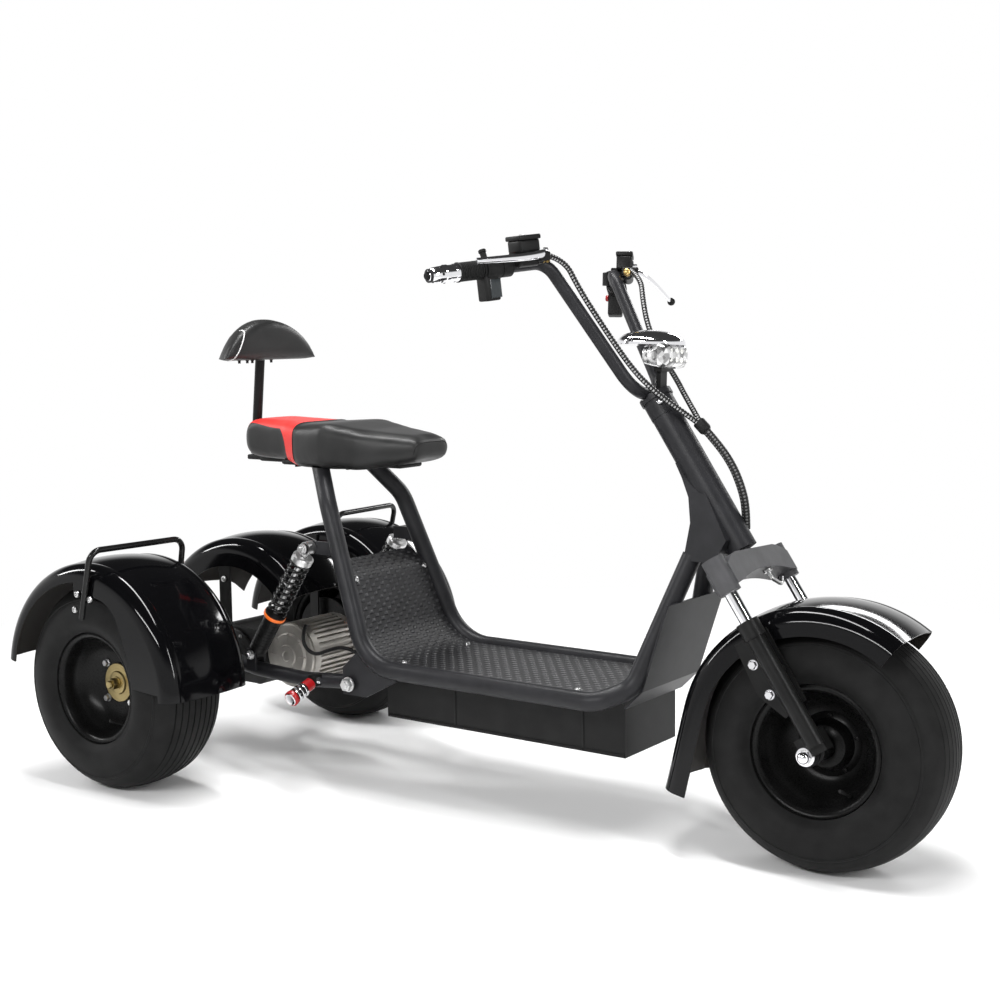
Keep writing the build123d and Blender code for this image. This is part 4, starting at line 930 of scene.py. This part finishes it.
def cushion(name, node, mat, smooth, shape=None):
    """A stuffed cover over a CAD node's shape, which shape(vertex) may change a little first."""
    bm = bmesh.new()
    bm.from_mesh(nodes[node].data)
    bmesh.ops.remove_doubles(bm, verts=bm.verts, dist=1e-5)
    bmesh.ops.recalc_face_normals(bm, faces=bm.faces)
    mesh = bpy.data.meshes.new(name)
    bm.to_mesh(mesh)
    bm.free()
    piece = bpy.data.objects.new(name, mesh)
    scene.collection.objects.link(piece)
    remesh = piece.modifiers.new("remesh", "REMESH")
    remesh.mode = "VOXEL"
    remesh.voxel_size = VOXEL
    apply_modifiers(piece)
    bm = bmesh.new()
    bm.from_mesh(piece.data)
    for vert in bm.verts if shape else ():
        shape(vert)
    smooth_all(bm, smooth)
    bm.normal_update()
    shrunk = [(v, v.co - v.normal * DRAW_IN) for v in bm.verts]
    for vert, inner in shrunk:
        vert.co = inner
    bm.to_mesh(piece.data)
    bm.free()
    rest = [v.co.copy() for v in piece.data.vertices]
    cloth = piece.modifiers.new("cloth", "CLOTH")
    cloth.settings.use_pressure = True
    cloth.settings.uniform_pressure_force = PRESSURE
    cloth.settings.effector_weights.gravity = 0.0
    cloth.settings.quality = 4
    cloth.point_cache.frame_end = CLOTH_FRAMES
    for frame_number in range(1, CLOTH_FRAMES + 1):
        scene.frame_set(frame_number)
    graph = bpy.context.evaluated_depsgraph_get()
    blown = [v.co.copy() for v in piece.evaluated_get(graph).data.vertices]
    piece.modifiers.clear()
    for vert, start, end in zip(piece.data.vertices, rest, blown):
        move = end - start
        vert.co = start + move * min(1.0, SWELL_CAP / max(move.length, 1e-9))
    scene.frame_set(1)
    bm = bmesh.new()
    bm.from_mesh(piece.data)
    smooth_all(bm, AFTER_SMOOTH)
    bm.to_mesh(piece.data)
    bm.free()
    finer = piece.modifiers.new("finer", "SUBSURF")
    finer.levels = 1
    finer.render_levels = 1
    apply_modifiers(piece)
    piece.data.materials.clear()
    piece.data.materials.append(mat)
    piece.data.shade_smooth()
    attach(piece, "frame")
    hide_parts(node)
    print(name, len(piece.data.polygons), "faces")
    return piece


def hang_skirt(vert):
    """The saddle's lower edge hangs a little over its pan, most under the rider."""
    x = (vert.co.x - REAR_X) * 1000
    low = min(max((0.748 - vert.co.z) / 0.045, 0), 1)
    under_rider = min(max((x - 190) / 60, 0), 1) * min(max((520 - x) / 90, 0), 1)
    vert.co.z -= low * (0.004 + 0.010 * under_rider)


saddle_cover = cushion("saddle_cover", "saddle", saddle_leather, 12, hang_skirt)


def narrow_back(vert):
    """The backrest is widest near its front and narrower behind."""
    behind = min(max((REAR_X + 0.095 - vert.co.x) / 0.043, 0), 1)
    vert.co.y *= 1 - 0.17 * behind


backrest_cover = cushion("backrest_cover", "backrest_pad", pad_leather, 3, narrow_back)

# %% [markdown]
# ## Handlebar controls
# The bars end in turned chrome tips, then ribbed rubber grips. Inboard of the grips sit the switch blocks,
# the brake levers on their clamps and the small oil reservoirs. Everything is placed by its distance from
# the bar's end, along the grip, and is built straight ahead before it is turned with the steering.

# %% Places along the grips
BAR_BEND = (946, 139, 1100)
BAR_END = (842, 380, 1058)


def along_grip(side, inboard, x=0.0, z=0.0, y=0.0):
    """A place on the grip, millimetres in from the bar's end, with an offset."""
    end = Vector((BAR_END[0], BAR_END[1] * side, BAR_END[2]))
    bend = Vector((BAR_BEND[0], BAR_BEND[1] * side, BAR_BEND[2]))
    spot = end + (bend - end).normalized() * inboard
    return at(spot.x + x, spot.y + y * side, spot.z + z)


def grip_way(side):
    """The way from the bar's end inboard."""
    return (along_grip(side, 1) - along_grip(side, 0)).normalized()


def grip_frame(side, place):
    """A frame at a place with Z inboard along the grip and Y as near to up as it goes."""
    along = grip_way(side)
    up = (Vector((0, 0, 1)) - along * along.z).normalized()
    turn = Matrix((up.cross(along), up, along)).transposed().to_4x4()
    return Matrix.Translation(place) @ turn


# %% Turn the bar ends and grips
TIP = [(0, -2), (15.6, -2), (16.6, -1), (16.6, 5), (15.6, 6), (15.6, 20), (16.9, 21), (16.9, 27), (15.6, 28.5),
       (15.2, 40), (13.8, 52), (11.6, 58), (9.0, 61), (0, 61)]
TIP_CAP = [(0, 60), (8.6, 60), (8.8, 62), (6.0, 65.5), (0, 66)]
TIP_SCREWS = 6
bm = bmesh.new()
for side in (-1, 1):
    out = pointing(along_grip(side, 60), -grip_way(side))
    lathe(bm, TIP, out, 40, 0)
    lathe(bm, TIP_CAP, out, 24, 1)
    for k in range(TIP_SCREWS):
        turn = Matrix.Rotation(2 * math.pi * k / TIP_SCREWS, 4, "Z")
        pit = out @ turn @ Matrix.Translation((0.0149, 0, 0.036)) @ Matrix.Rotation(math.pi / 2, 4, "Y")
        lathe(bm, [(0, -1), (2.6, -1), (2.6, 0.6), (0, 0.6)], pit, 12, 1)
make_piece("bar_end_tips", bm, "steering", [chrome, rim_black], ["bar_ends"], steered=True)

GRIP_LENGTH = 56
GRIP_RIBS = 13
bm = bmesh.new()
for side in (-1, 1):
    profile = [(0, 0), (17.6, 0), (18.4, 1), (18.4, 3), (16.0, 4)]
    for k in range(GRIP_RIBS):
        h = 4.6 + k * (GRIP_LENGTH - 9) / GRIP_RIBS
        profile += [(17.6, h), (17.6, h + 2.0), (15.9, h + 2.5)]
    profile += [(16.0, GRIP_LENGTH - 4), (18.6, GRIP_LENGTH - 3), (18.6, GRIP_LENGTH), (0, GRIP_LENGTH)]
    lathe(bm, profile, pointing(along_grip(side, 62), grip_way(side)), 40, 0)
make_piece("grip_rubbers", bm, "steering", [moulded_black], ["grips"], 40, steered=True)

# %% [markdown]
# The switch blocks are moulded boxes that hang under the bar from a round clamp. The near one has a small
# display and the far one a red button. Each is a rounded block, a clamp and a few small knobs.

# %% Build the switch blocks
bm = bmesh.new()
for side in (-1, 1):
    lathe(bm, [(0, 0), (20, 0), (21, 1), (21, 33), (20, 34), (0, 34)],
          pointing(along_grip(side, 120), grip_way(side)), 32, 0)
    lathe(bm, [(0, 0), (18, 0), (19, 1), (19, 23), (18, 24), (0, 24)],
          pointing(along_grip(side, 156), grip_way(side)), 32, 0)
    block = grip_frame(side, along_grip(side, 136, -2, -34))
    box_part(bm, (30, 50, 32), block, 3.5, 0, 3)
    knob = pointing(along_grip(side, 138, -12, 14), (-0.4, 0, 1))
    lathe(bm, [(0, 0), (6, 0), (6, 16), (7.5, 17), (7.5, 21), (6, 22.5), (0, 22.5)], knob, 20, 0)
    if side < 0:
        face = grip_frame(side, along_grip(side, 136, 14.2, -36))
        box_part(bm, (2.0, 34, 24), face, 0.8, 1)
    else:
        face = pointing(along_grip(side, 150, -16, -24), (-1, 0, 0))
        lathe(bm, [(0, 0), (7, 0), (7, 5), (6, 6.5), (0, 6.5)], face, 20, 2)
        stub = pointing(along_grip(side, 188, -20, -6), (0, 0, 1))
        lathe(bm, [(0, 0), (9, 0), (9, 26), (8, 27), (0, 27)], stub, 20, 0)
display = finish("display_glass", (0.020, 0.024, 0.026), (0.034, 0.040, 0.043), (0.06, 0.1), spec=0.4,
                 cells=260, grain=0.02)
make_piece("switch_blocks", bm, "steering", [moulded_black, display, red_gloss], ["switch_pods"],
           steered=True)

# %% Build the reservoirs
RESERVOIR = {
    # side: distance in from the bar's end, ahead, up, size, lid size
    -1: (196, 16, 35, (42, 24, 46), (46, 9, 50)),
    1: (206, 22, 32, (32, 30, 42), (35, 9, 45)),
}
bm = bmesh.new()
for side, (inboard, x, z, size, lid) in RESERVOIR.items():
    body_frame = grip_frame(side, along_grip(side, inboard, x, z))
    box_part(bm, size, body_frame, 4.5, 0, 4)
    top = size[1] / 2 + lid[1] / 2 - 1
    box_part(bm, lid, body_frame @ Matrix.Translation((0, top / 1000, 0)), 2.5, 0, 3)
    for u in (-1, 1):
        spot = Matrix.Translation((u * 0.011, (top + lid[1] / 2 - 0.3) / 1000, u * 0.014))
        dome_head(bm, body_frame @ spot @ Matrix.Rotation(-math.pi / 2, 4, "X"), 6.5, 2)
    glass = body_frame @ Matrix.Translation((size[0] / 2000, 0, 0)) @ Matrix.Rotation(math.pi / 2, 4, "Y")
    lathe(bm, [(0, -1), (8, -1), (8, 1.6), (6.6, 2.2), (6.2, 1.2), (0, 1.0)], glass, 24, 1)
    mount = along_grip(side, inboard, x * 0.35, z * 0.40)
    box_part(bm, (30, 22, 26), grip_frame(side, mount), 3, 0, 2)
    barrel = pointing(along_grip(side, inboard - 30, 30, 8), grip_way(side))
    lathe(bm, [(0, 0), (9, 0), (10.5, 2), (10.5, 44), (8, 47), (8, 56), (0, 56)], barrel, 24, 0)
    banjo = pointing(along_grip(side, inboard + 26, 30, 8), grip_way(side))
    lathe(bm, [(0, 0), (7.5, 0), (7.5, 5), (5.5, 6), (5.5, 12), (7, 12.5), (7, 16), (4, 18), (0, 18)],
          banjo, 12, 3)
make_piece("brake_reservoirs", bm, "steering", [satin_black, display, zinc, brass], ["master_cylinders"],
           steered=True)

# %% [markdown]
# A brake lever is a forged blade that starts broad at its pivot and narrows outboard. It is a tube carried
# along a short smooth line, then flattened, so its edge stays round. The near one is bright and broad, the
# far one slimmer, and it ends in a ball.


# %% Forge the levers
def blade(bm, points, radius, flat, mat):
    """A flattened tube through a few places."""
    part, line = line_mesh("lever_line", points, radius / 1000, 14)
    along = (line[-1] - line[0]).normalized()
    across = along.cross(Vector((0, 0, 1))).normalized()
    for vert in part.verts:
        share = min(max((vert.co - line[0]).dot(along) / (line[-1] - line[0]).length, 0), 1)
        nearest = min(line, key=lambda p: (p - vert.co).length_squared)
        offset = vert.co - nearest
        vert.co -= across * offset.dot(across) * (1 - flat)
        vert.co -= Vector((0, 0, 1)) * offset.z * 0.35 * share
    join(bm, part, None, mat)


bm = bmesh.new()
near = [along_grip(-1, 222, 42, 20), along_grip(-1, 196, 54, 19), along_grip(-1, 150, 62, 18),
        along_grip(-1, 100, 56, 19), along_grip(-1, 56, 48, 20)]
blade(bm, near, 8.5, 0.55, 0)
far = [along_grip(1, 218, 44, 14), along_grip(1, 196, 62, 14), along_grip(1, 150, 84, 9),
       along_grip(1, 90, 106, 0), along_grip(1, 26, 122, -5)]
blade(bm, far, 6.0, 0.6, 0)
ball = bmesh.new()
bmesh.ops.create_uvsphere(ball, u_segments=20, v_segments=12, radius=0.0085)
join(bm, ball, Matrix.Translation(along_grip(1, 22, 124, -5)), 1)
for side in (-1, 1):
    pivot = along_grip(side, 214, 36, 14)
    box_part(bm, (34, 18, 24), grip_frame(side, pivot), 3.5, 1, 3)
    hex_head(bm, pointing(along_grip(side, 214, 46, 24), (0, 0, 1)), 9, 6, 1, 0)
make_piece("brake_lever_blades", bm, "steering", [chrome, satin_black], ["brake_levers"], 40,
           steered=True)

# %% [markdown]
# ## Headlamp
# The lamp sits under a bright domed hood with pointed ends. The hood is the upper half of a stretched
# sphere with a thin lip. The clear front is faceted: behind the plastic are small bright mirrors, so its
# material is cut into cells of different gloss and tilt, and each cell gets its own grey as a painted
# reflection of dark or light surroundings. Eight small emitters sit on its front face in two rows.

# %% Shape the hood
HOOD_MIDDLE = (1096, 0, 953)
HOOD_HALF = (66, 68)
HOOD_RISE = 25
LIP_DROP = 0.004
LIP_INSET = 0.95
bm = bmesh.new()
part = bmesh.new()
bmesh.ops.create_uvsphere(part, u_segments=56, v_segments=28, radius=1.0)
bmesh.ops.bisect_plane(part, geom=part.verts[:] + part.edges[:] + part.faces[:], plane_co=(0, 0, 0),
                       plane_no=(0, 0, 1), clear_inner=True)
for vert in part.verts:
    pinch = 1.0 - 0.22 * max(0.0, -vert.co.x) ** 2 * abs(vert.co.y)
    vert.co.y *= pinch
    vert.co.x += 0.10 * (1 - vert.co.y ** 2)
bmesh.ops.scale(part, vec=(HOOD_HALF[0] / 1000, HOOD_HALF[1] / 1000, HOOD_RISE / 1000), verts=part.verts)
rim_edges = [e for e in part.edges if e.is_boundary]
down = bmesh.ops.extrude_edge_only(part, edges=rim_edges)["geom"]
low = [v for v in down if isinstance(v, bmesh.types.BMVert)]
bmesh.ops.translate(part, vec=(0, 0, -LIP_DROP), verts=low)
low_edges = [e for e in down if isinstance(e, bmesh.types.BMEdge)]
inner = bmesh.ops.extrude_edge_only(part, edges=low_edges)["geom"]
inner_verts = [v for v in inner if isinstance(v, bmesh.types.BMVert)]
bmesh.ops.scale(part, vec=(LIP_INSET, LIP_INSET, 1), verts=inner_verts)
bmesh.ops.contextual_create(part, geom=[e for e in inner if isinstance(e, bmesh.types.BMEdge)])
join(bm, part, Matrix.Translation(at(*HOOD_MIDDLE)), 0)
make_piece("headlamp_hood", bm, "steering", [chrome], ["headlight_visor"], 40, steered=True)

# %% Set the emitters on the lens
EMITTER = [(0, 0), (5.2, 0), (5.2, 1.0), (4.0, 2.4), (0, 3.0)]
EMITTER_ROWS = (921, 938)
EMITTERS_ACROSS = 4
EMITTER_STEP = 22
LENS_FACE = 1161.5
emitter = finish("emitter_dot", (0.9, 0.9, 0.85), (1.0, 1.0, 0.95), (0.1, 0.2), cells=600, grain=0.02)
bm = bmesh.new()
for z in EMITTER_ROWS:
    for k in range(EMITTERS_ACROSS):
        y = -33 + EMITTER_STEP * k
        lathe(bm, EMITTER, pointing(at(LENS_FACE - (y / EMITTER_STEP) ** 2 * 0.9, y, z), (1, 0, 0)), 16, 0)
make_piece("headlamp_emitters", bm, "steering", [emitter], (), steered=True)

# %% [markdown]
# ## Seams, piping and the seat's underside
# A seam follows the cover exactly when it is cut from it: a plane is passed through the finished cushion,
# and a fine cord is carried along the cut.


# %% Sew the seams
SEAM_STEP = 0.004


def cut_loops(piece, place, normal):
    """The closed lines in which a plane cuts a piece, longest first."""
    bm = bmesh.new()
    bm.from_mesh(piece.data)
    cut = bmesh.ops.bisect_plane(bm, geom=bm.verts[:] + bm.edges[:] + bm.faces[:], plane_co=place,
                                 plane_no=normal)
    edges = {e for e in cut["geom_cut"] if isinstance(e, bmesh.types.BMEdge)}
    loops = []
    while edges:
        edge = edges.pop()
        line = [edge.verts[0], edge.verts[1]]
        while True:
            onward = next((e for e in line[-1].link_edges if e in edges), None)
            if onward is None:
                break
            edges.discard(onward)
            line.append(onward.other_vert(line[-1]))
        loops.append([v.co.copy() for v in line])
    bm.free()
    return sorted(loops, key=len, reverse=True)


def even_line(line, step):
    """Drop points that stand closer together than a step, then round the line a little."""
    kept = [line[0]]
    for place in line[1:]:
        if (place - kept[-1]).length >= step:
            kept.append(place)
    count = len(kept)
    return [(kept[i - 1] + kept[i] * 2 + kept[(i + 1) % count]) / 4 for i in range(count)]


def piping(name, piece, place, normal, radius, mat, keep=None):
    """A cord sewn round a cushion in a plane; keep(place) limits it to a part."""
    line = even_line(cut_loops(piece, place, normal)[0], SEAM_STEP)
    if keep:
        marks = [keep(p) for p in line]
        start = next((i for i in range(len(line)) if marks[i] and not marks[i - 1]), 0)
        line = line[start:] + line[:start]
        line = [p for p in line if keep(p)]
    else:
        line = line + line[:2]
    bm = sweep(line, radius, 8)
    return make_piece(name, bm, "frame", [mat], (), 80)


piping("saddle_band_seam", saddle_cover, at(256, 0, 740), Vector((1, 0, 0)), 0.0011, moulded_black,
       lambda p: p.z > 0.696)
piping("saddle_nose_seam", saddle_cover, at(566, 0, 740), Vector((0.96, 0, -0.26)), 0.0010, moulded_black,
       lambda p: p.z > 0.718)
piping("backrest_piping", backrest_cover, at(95, -93, 970), Vector((0, 0.866, -0.5)), 0.0015, white_trim,
       lambda p: p.x > REAR_X + 0.084)

# %% Mould the seat pan
PAN_THICK = 11.4
PAN_HEIGHT = 694.2
PAN_BLOCKS = (
    # middle, length, width, rounding
    (84, 110, 30, 3), (300, 420, 76, 5), (310, 220, 160, 5),
)
PAN_RIBS = (240, 290, 340, 390)
bm = bmesh.new()
for x, long, wide, edge in PAN_BLOCKS:
    box_part(bm, (long, wide, PAN_THICK), Matrix.Translation(at(x, 0, PAN_HEIGHT)), edge, 0)
for x in PAN_RIBS:
    box_part(bm, (6, 150, 5), Matrix.Translation(at(x, 0, 686.6)), 1, 0)
make_piece("seat_pan", bm, "frame", [moulded_black], ["seat_base"])

PIN = [(0, -4), (4.2, -4), (4.2, 3), (3, 4), (3, 9), (0, 9)]
PIN_ACROSS = (-81, -56, -40, 21)
bm = bmesh.new()
for y in PIN_ACROSS:
    lathe(bm, PIN, pointing(at(80, y, 921), (0, 0, -1)), 14, 0)
make_piece("backrest_pins", bm, "frame", [moulded_black], ())

# %% [markdown]
# ## Bolts and nuts
# Bright bolt heads are small but they catch the light all over the machine. They are listed by place and
# by the way they face, and each sits on the plate or tube that it holds.

# %% Place the frame's bolts
STEEL_BOLTS = [
    # x, y, z, the way it faces, kind, size across
    ((-4, 491.5, 437), (0, 1, 0), "dome", 15), ((-13, 491.5, 403), (0, 1, 0), "dome", 15),
    ((36, 491.5, 429), (0, 1, 0), "dome", 15),
    ((446, 116, 455), (0.937, 0, 0.348), "dome", 13), ((570, 111, 288.2), (0, 0, 1), "dome", 13),
    ((1010, 118, 288.2), (0, 0, 1), "dome", 13), ((37, 108, 420), (0, 1, 0), "dome", 14),
    ((475, 180, 243), (0, 1, 0), "hex", 24), ((349, 174, 521), (0, 1, 0), "hex", 17),
    ((184, 174, 272), (0, 1, 0), "hex", 17),
]
bm = bmesh.new()
for (x, y, z), way, kind, across in STEEL_BOLTS:
    for side in (-1, 1):
        spot = pointing(at(x, y * side, z), (way[0], way[1] * side, way[2]))
        if kind == "dome":
            dome_head(bm, spot, across)
        else:
            castle_nut(bm, spot, across, across * 0.55, 4)
make_piece("frame_bolts", bm, "frame", [zinc], ())

# %% Place the fork's bolts
bm = bmesh.new()
for side in (-1, 1):
    for s in (481, 421):
        hex_head(bm, pointing(on_fork(s, 118 * side, -44), (0, side, 0)), 14, 9, 1.6)
    axle = Vector((FRONT_X, side * 0.134, WHEEL_RADIUS))
    lathe(bm, [(0, -2), (17, -2), (17, 1), (15.5, 1.6), (0, 1.6)], pointing(axle, (0, side, 0)), 32)
    lathe(bm, [(0, 1), (12.7, 1), (12.7, 10), (0, 10)], pointing(axle, (0, side, 0)), 6)
    lathe(bm, [(0, 9), (10.8, 9), (10.6, 13), (8, 17), (4, 19), (0, 19.4)], pointing(axle, (0, side, 0)), 28)
lathe(bm, [(0, 0), (13, 0), (13.4, 2), (11.5, 5), (0, 6)], pointing(on_fork(1024, 0, 0), STEER_WAY), 32)
for side in (-1, 1):
    dome_head(bm, pointing(on_fork(1000, 30 * side, 14), (0, side, 0.2)), 11)
make_piece("fork_bolts", bm, "steering", [chrome], (), steered=True)

# %% [markdown]
# ## Suspension units and footpegs
# Each unit has an orange ring under its coil and a black bush at each end. The footpegs fold: a red
# sleeve by the hinge, bright rings over a dark core, and a red ring with a bright cap at the end.

# %% Ring the suspension units
SHOCK_Y = 159
SHOCK_FOOT = Vector((184, 272))
SHOCK_HEAD = Vector((349, 521))
PRELOAD_RING = [(20.2, 107), (24.6, 107), (25.2, 108.2), (25.2, 113.4), (24.6, 114.6), (20.2, 114.6),
                (20.2, 107)]
DAMPER_RINGS = range(26, 91, 8)
BUSH = [(0, -16), (10.5, -16), (11.5, -15), (11.5, 15), (10.5, 16), (0, 16)]
shock_way = SHOCK_HEAD - SHOCK_FOOT
bm = bmesh.new()
for side in (-1, 1):
    foot = at(SHOCK_FOOT.x, SHOCK_Y * side, SHOCK_FOOT.y)
    unit = pointing(foot, (shock_way.x, 0, shock_way.y))
    lathe(bm, PRELOAD_RING, unit, 40, 0)
    for h in DAMPER_RINGS:
        lathe(bm, [(19, h), (20.9, h + 0.6), (20.9, h + 2.0), (19, h + 2.6), (19, h)], unit, 32, 1)
    top = shock_way.length
    lathe(bm, [(9, top - 40), (19, top - 40), (23.4, top - 37), (23.6, top - 25), (20, top - 22), (9, top - 22),
               (9, top - 40)], unit, 40, 2)
    for spot in (foot, at(SHOCK_HEAD.x, SHOCK_Y * side, SHOCK_HEAD.y)):
        lathe(bm, BUSH, pointing(spot, (0, 1, 0)), 28, 3)
make_piece("shock_rings", bm, "frame", [orange_ring, satin_black, zinc, satin_black], ())

# %% Turn the footpegs
PEG_PROFILE = [
    # outline (radius, distance out from the hinge), finish
    ([(0, 0), (9, 0), (9, 16), (0, 16)], 0),
    ([(0, 14), (12.4, 14), (13.4, 15), (13.4, 36), (12.4, 37), (0, 37)], 1),
    ([(0, 36), (10.5, 36), (10.5, 80), (0, 80)], 0),
    ([(0, 38), (15.4, 38), (16.2, 39), (16.2, 44), (15.4, 45), (0, 45)], 2),
    ([(0, 49), (15.4, 49), (16.2, 50), (16.2, 55), (15.4, 56), (0, 56)], 2),
    ([(0, 60), (15.4, 60), (16.2, 61), (16.2, 66), (15.4, 67), (0, 67)], 2),
    ([(0, 71), (16.2, 71), (17, 72), (17, 79), (16.2, 80.5), (0, 80.5)], 1),
    ([(0, 80), (13.6, 80), (13.6, 82), (12.4, 82.8), (10, 82.0), (0, 82.0)], 2),
]
PEG_FOOT = (372, 172, 238)
PEG_TIP = (372, 258, 207)
bm = bmesh.new()
for side in (-1, 1):
    foot = at(PEG_FOOT[0], PEG_FOOT[1] * side, PEG_FOOT[2])
    tip = at(PEG_TIP[0], PEG_TIP[1] * side, PEG_TIP[2])
    peg = pointing(foot, tip - foot)
    for outline, mat in PEG_PROFILE:
        lathe(bm, outline, peg, 32, mat)
    box_part(bm, (22, 26, 26), Matrix.Translation(foot), 4, 0)
    hex_head(bm, pointing(foot + Vector((0.011, 0, 0)), (1, 0, 0)), 11, 6, 1.2, 2)
make_piece("folding_footpegs", bm, "frame", [satin_black, red_gloss, chrome], ["footpegs"])

# %% [markdown]
# ## Motor and gearbox
# The motor's body is finned; a smooth end cover with a ring of bolts and ribs closes its near end. The
# gearbox is a darker casting with its own cover and a raised rim.

# %% Bolt on the covers
MOTOR_MIDDLE = (190, -50, 250)
MOTOR_COVER = [(0, -1), (72, -1), (72, 4), (69, 7), (52, 9), (48, 14), (26, 16), (24, 20), (12, 21), (10, 18),
               (0, 18)]
MOTOR_RIBS = 8
GEAR_COVER = [(0, -1), (58, -1), (58, 5), (55, 8), (40, 9), (36, 13), (20, 14), (18, 10), (0, 10)]
GEAR_BOLTS = 6
bm = bmesh.new()
cover = pointing(at(*MOTOR_MIDDLE), (0, -1, 0))
lathe(bm, MOTOR_COVER, cover, 64, 0)
for k in range(MOTOR_RIBS):
    turn = Matrix.Rotation(2 * math.pi * k / MOTOR_RIBS, 4, "Z")
    box_part(bm, (26, 4, 6), cover @ turn @ Matrix.Translation((0.039, 0, 0.0125)), 1.2, 0)
    if k % 2:
        dome_head(bm, cover @ turn @ Matrix.Translation((0.063, 0, 0.0072)), 10, 1)
for side in (-1, 1):
    gear = pointing(at(20, 60 * side, 238), (0, side, 0))
    lathe(bm, GEAR_COVER, gear, 48, 2)
    for k in range(GEAR_BOLTS):
        turn = Matrix.Rotation(2 * math.pi * k / GEAR_BOLTS, 4, "Z")
        dome_head(bm, gear @ turn @ Matrix.Translation((0.0485, 0, 0.0078)), 9, 1)
make_piece("motor_covers", bm, "frame", [warm_cast, zinc, dark_cast], ())

# %% [markdown]
# ## Battery box and cables below
# The battery box is folded sheet with two upright seams on each side and a lip along the foot. A short
# black cable leaves the motor, dips in a loop and goes into the back of the box: it is fixed at both ends.

# %% Fold the seams and run the motor cable
BOX_SIDE = 97
MOTOR_CABLE_RADIUS = 0.0042
bm = bmesh.new()
for side in (-1, 1):
    for x in (694, 1008):
        box_part(bm, (5, 3, 104), Matrix.Translation(at(x, BOX_SIDE * side, 215)), 0.8, 0)
    box_part(bm, (590, 3, 7), Matrix.Translation(at(808, BOX_SIDE * side, 166)), 0.8, 0)
    for x in (560, 640, 760, 880, 950, 1060):
        dome_head(bm, pointing(at(x, BOX_SIDE * side, 256), (0, side, 0)), 9, 1)
make_piece("battery_box_seams", bm, "frame", [satin_black, satin_black], ())

MOTOR_CABLE = [(236, -52, 322), (256, -84, 310), (272, -95, 284), (304, -96, 270), (345, -95, 287),
               (385, -92, 298), (425, -86, 286), (470, -76, 262), (516, -66, 240)]
bm, line = line_mesh("motor_cable", [at(*p) for p in MOTOR_CABLE], MOTOR_CABLE_RADIUS, 10)
make_piece("motor_cable", bm, "frame", [moulded_black], (), 60)
print("motor cable", round(line_length(line), 3), "m")
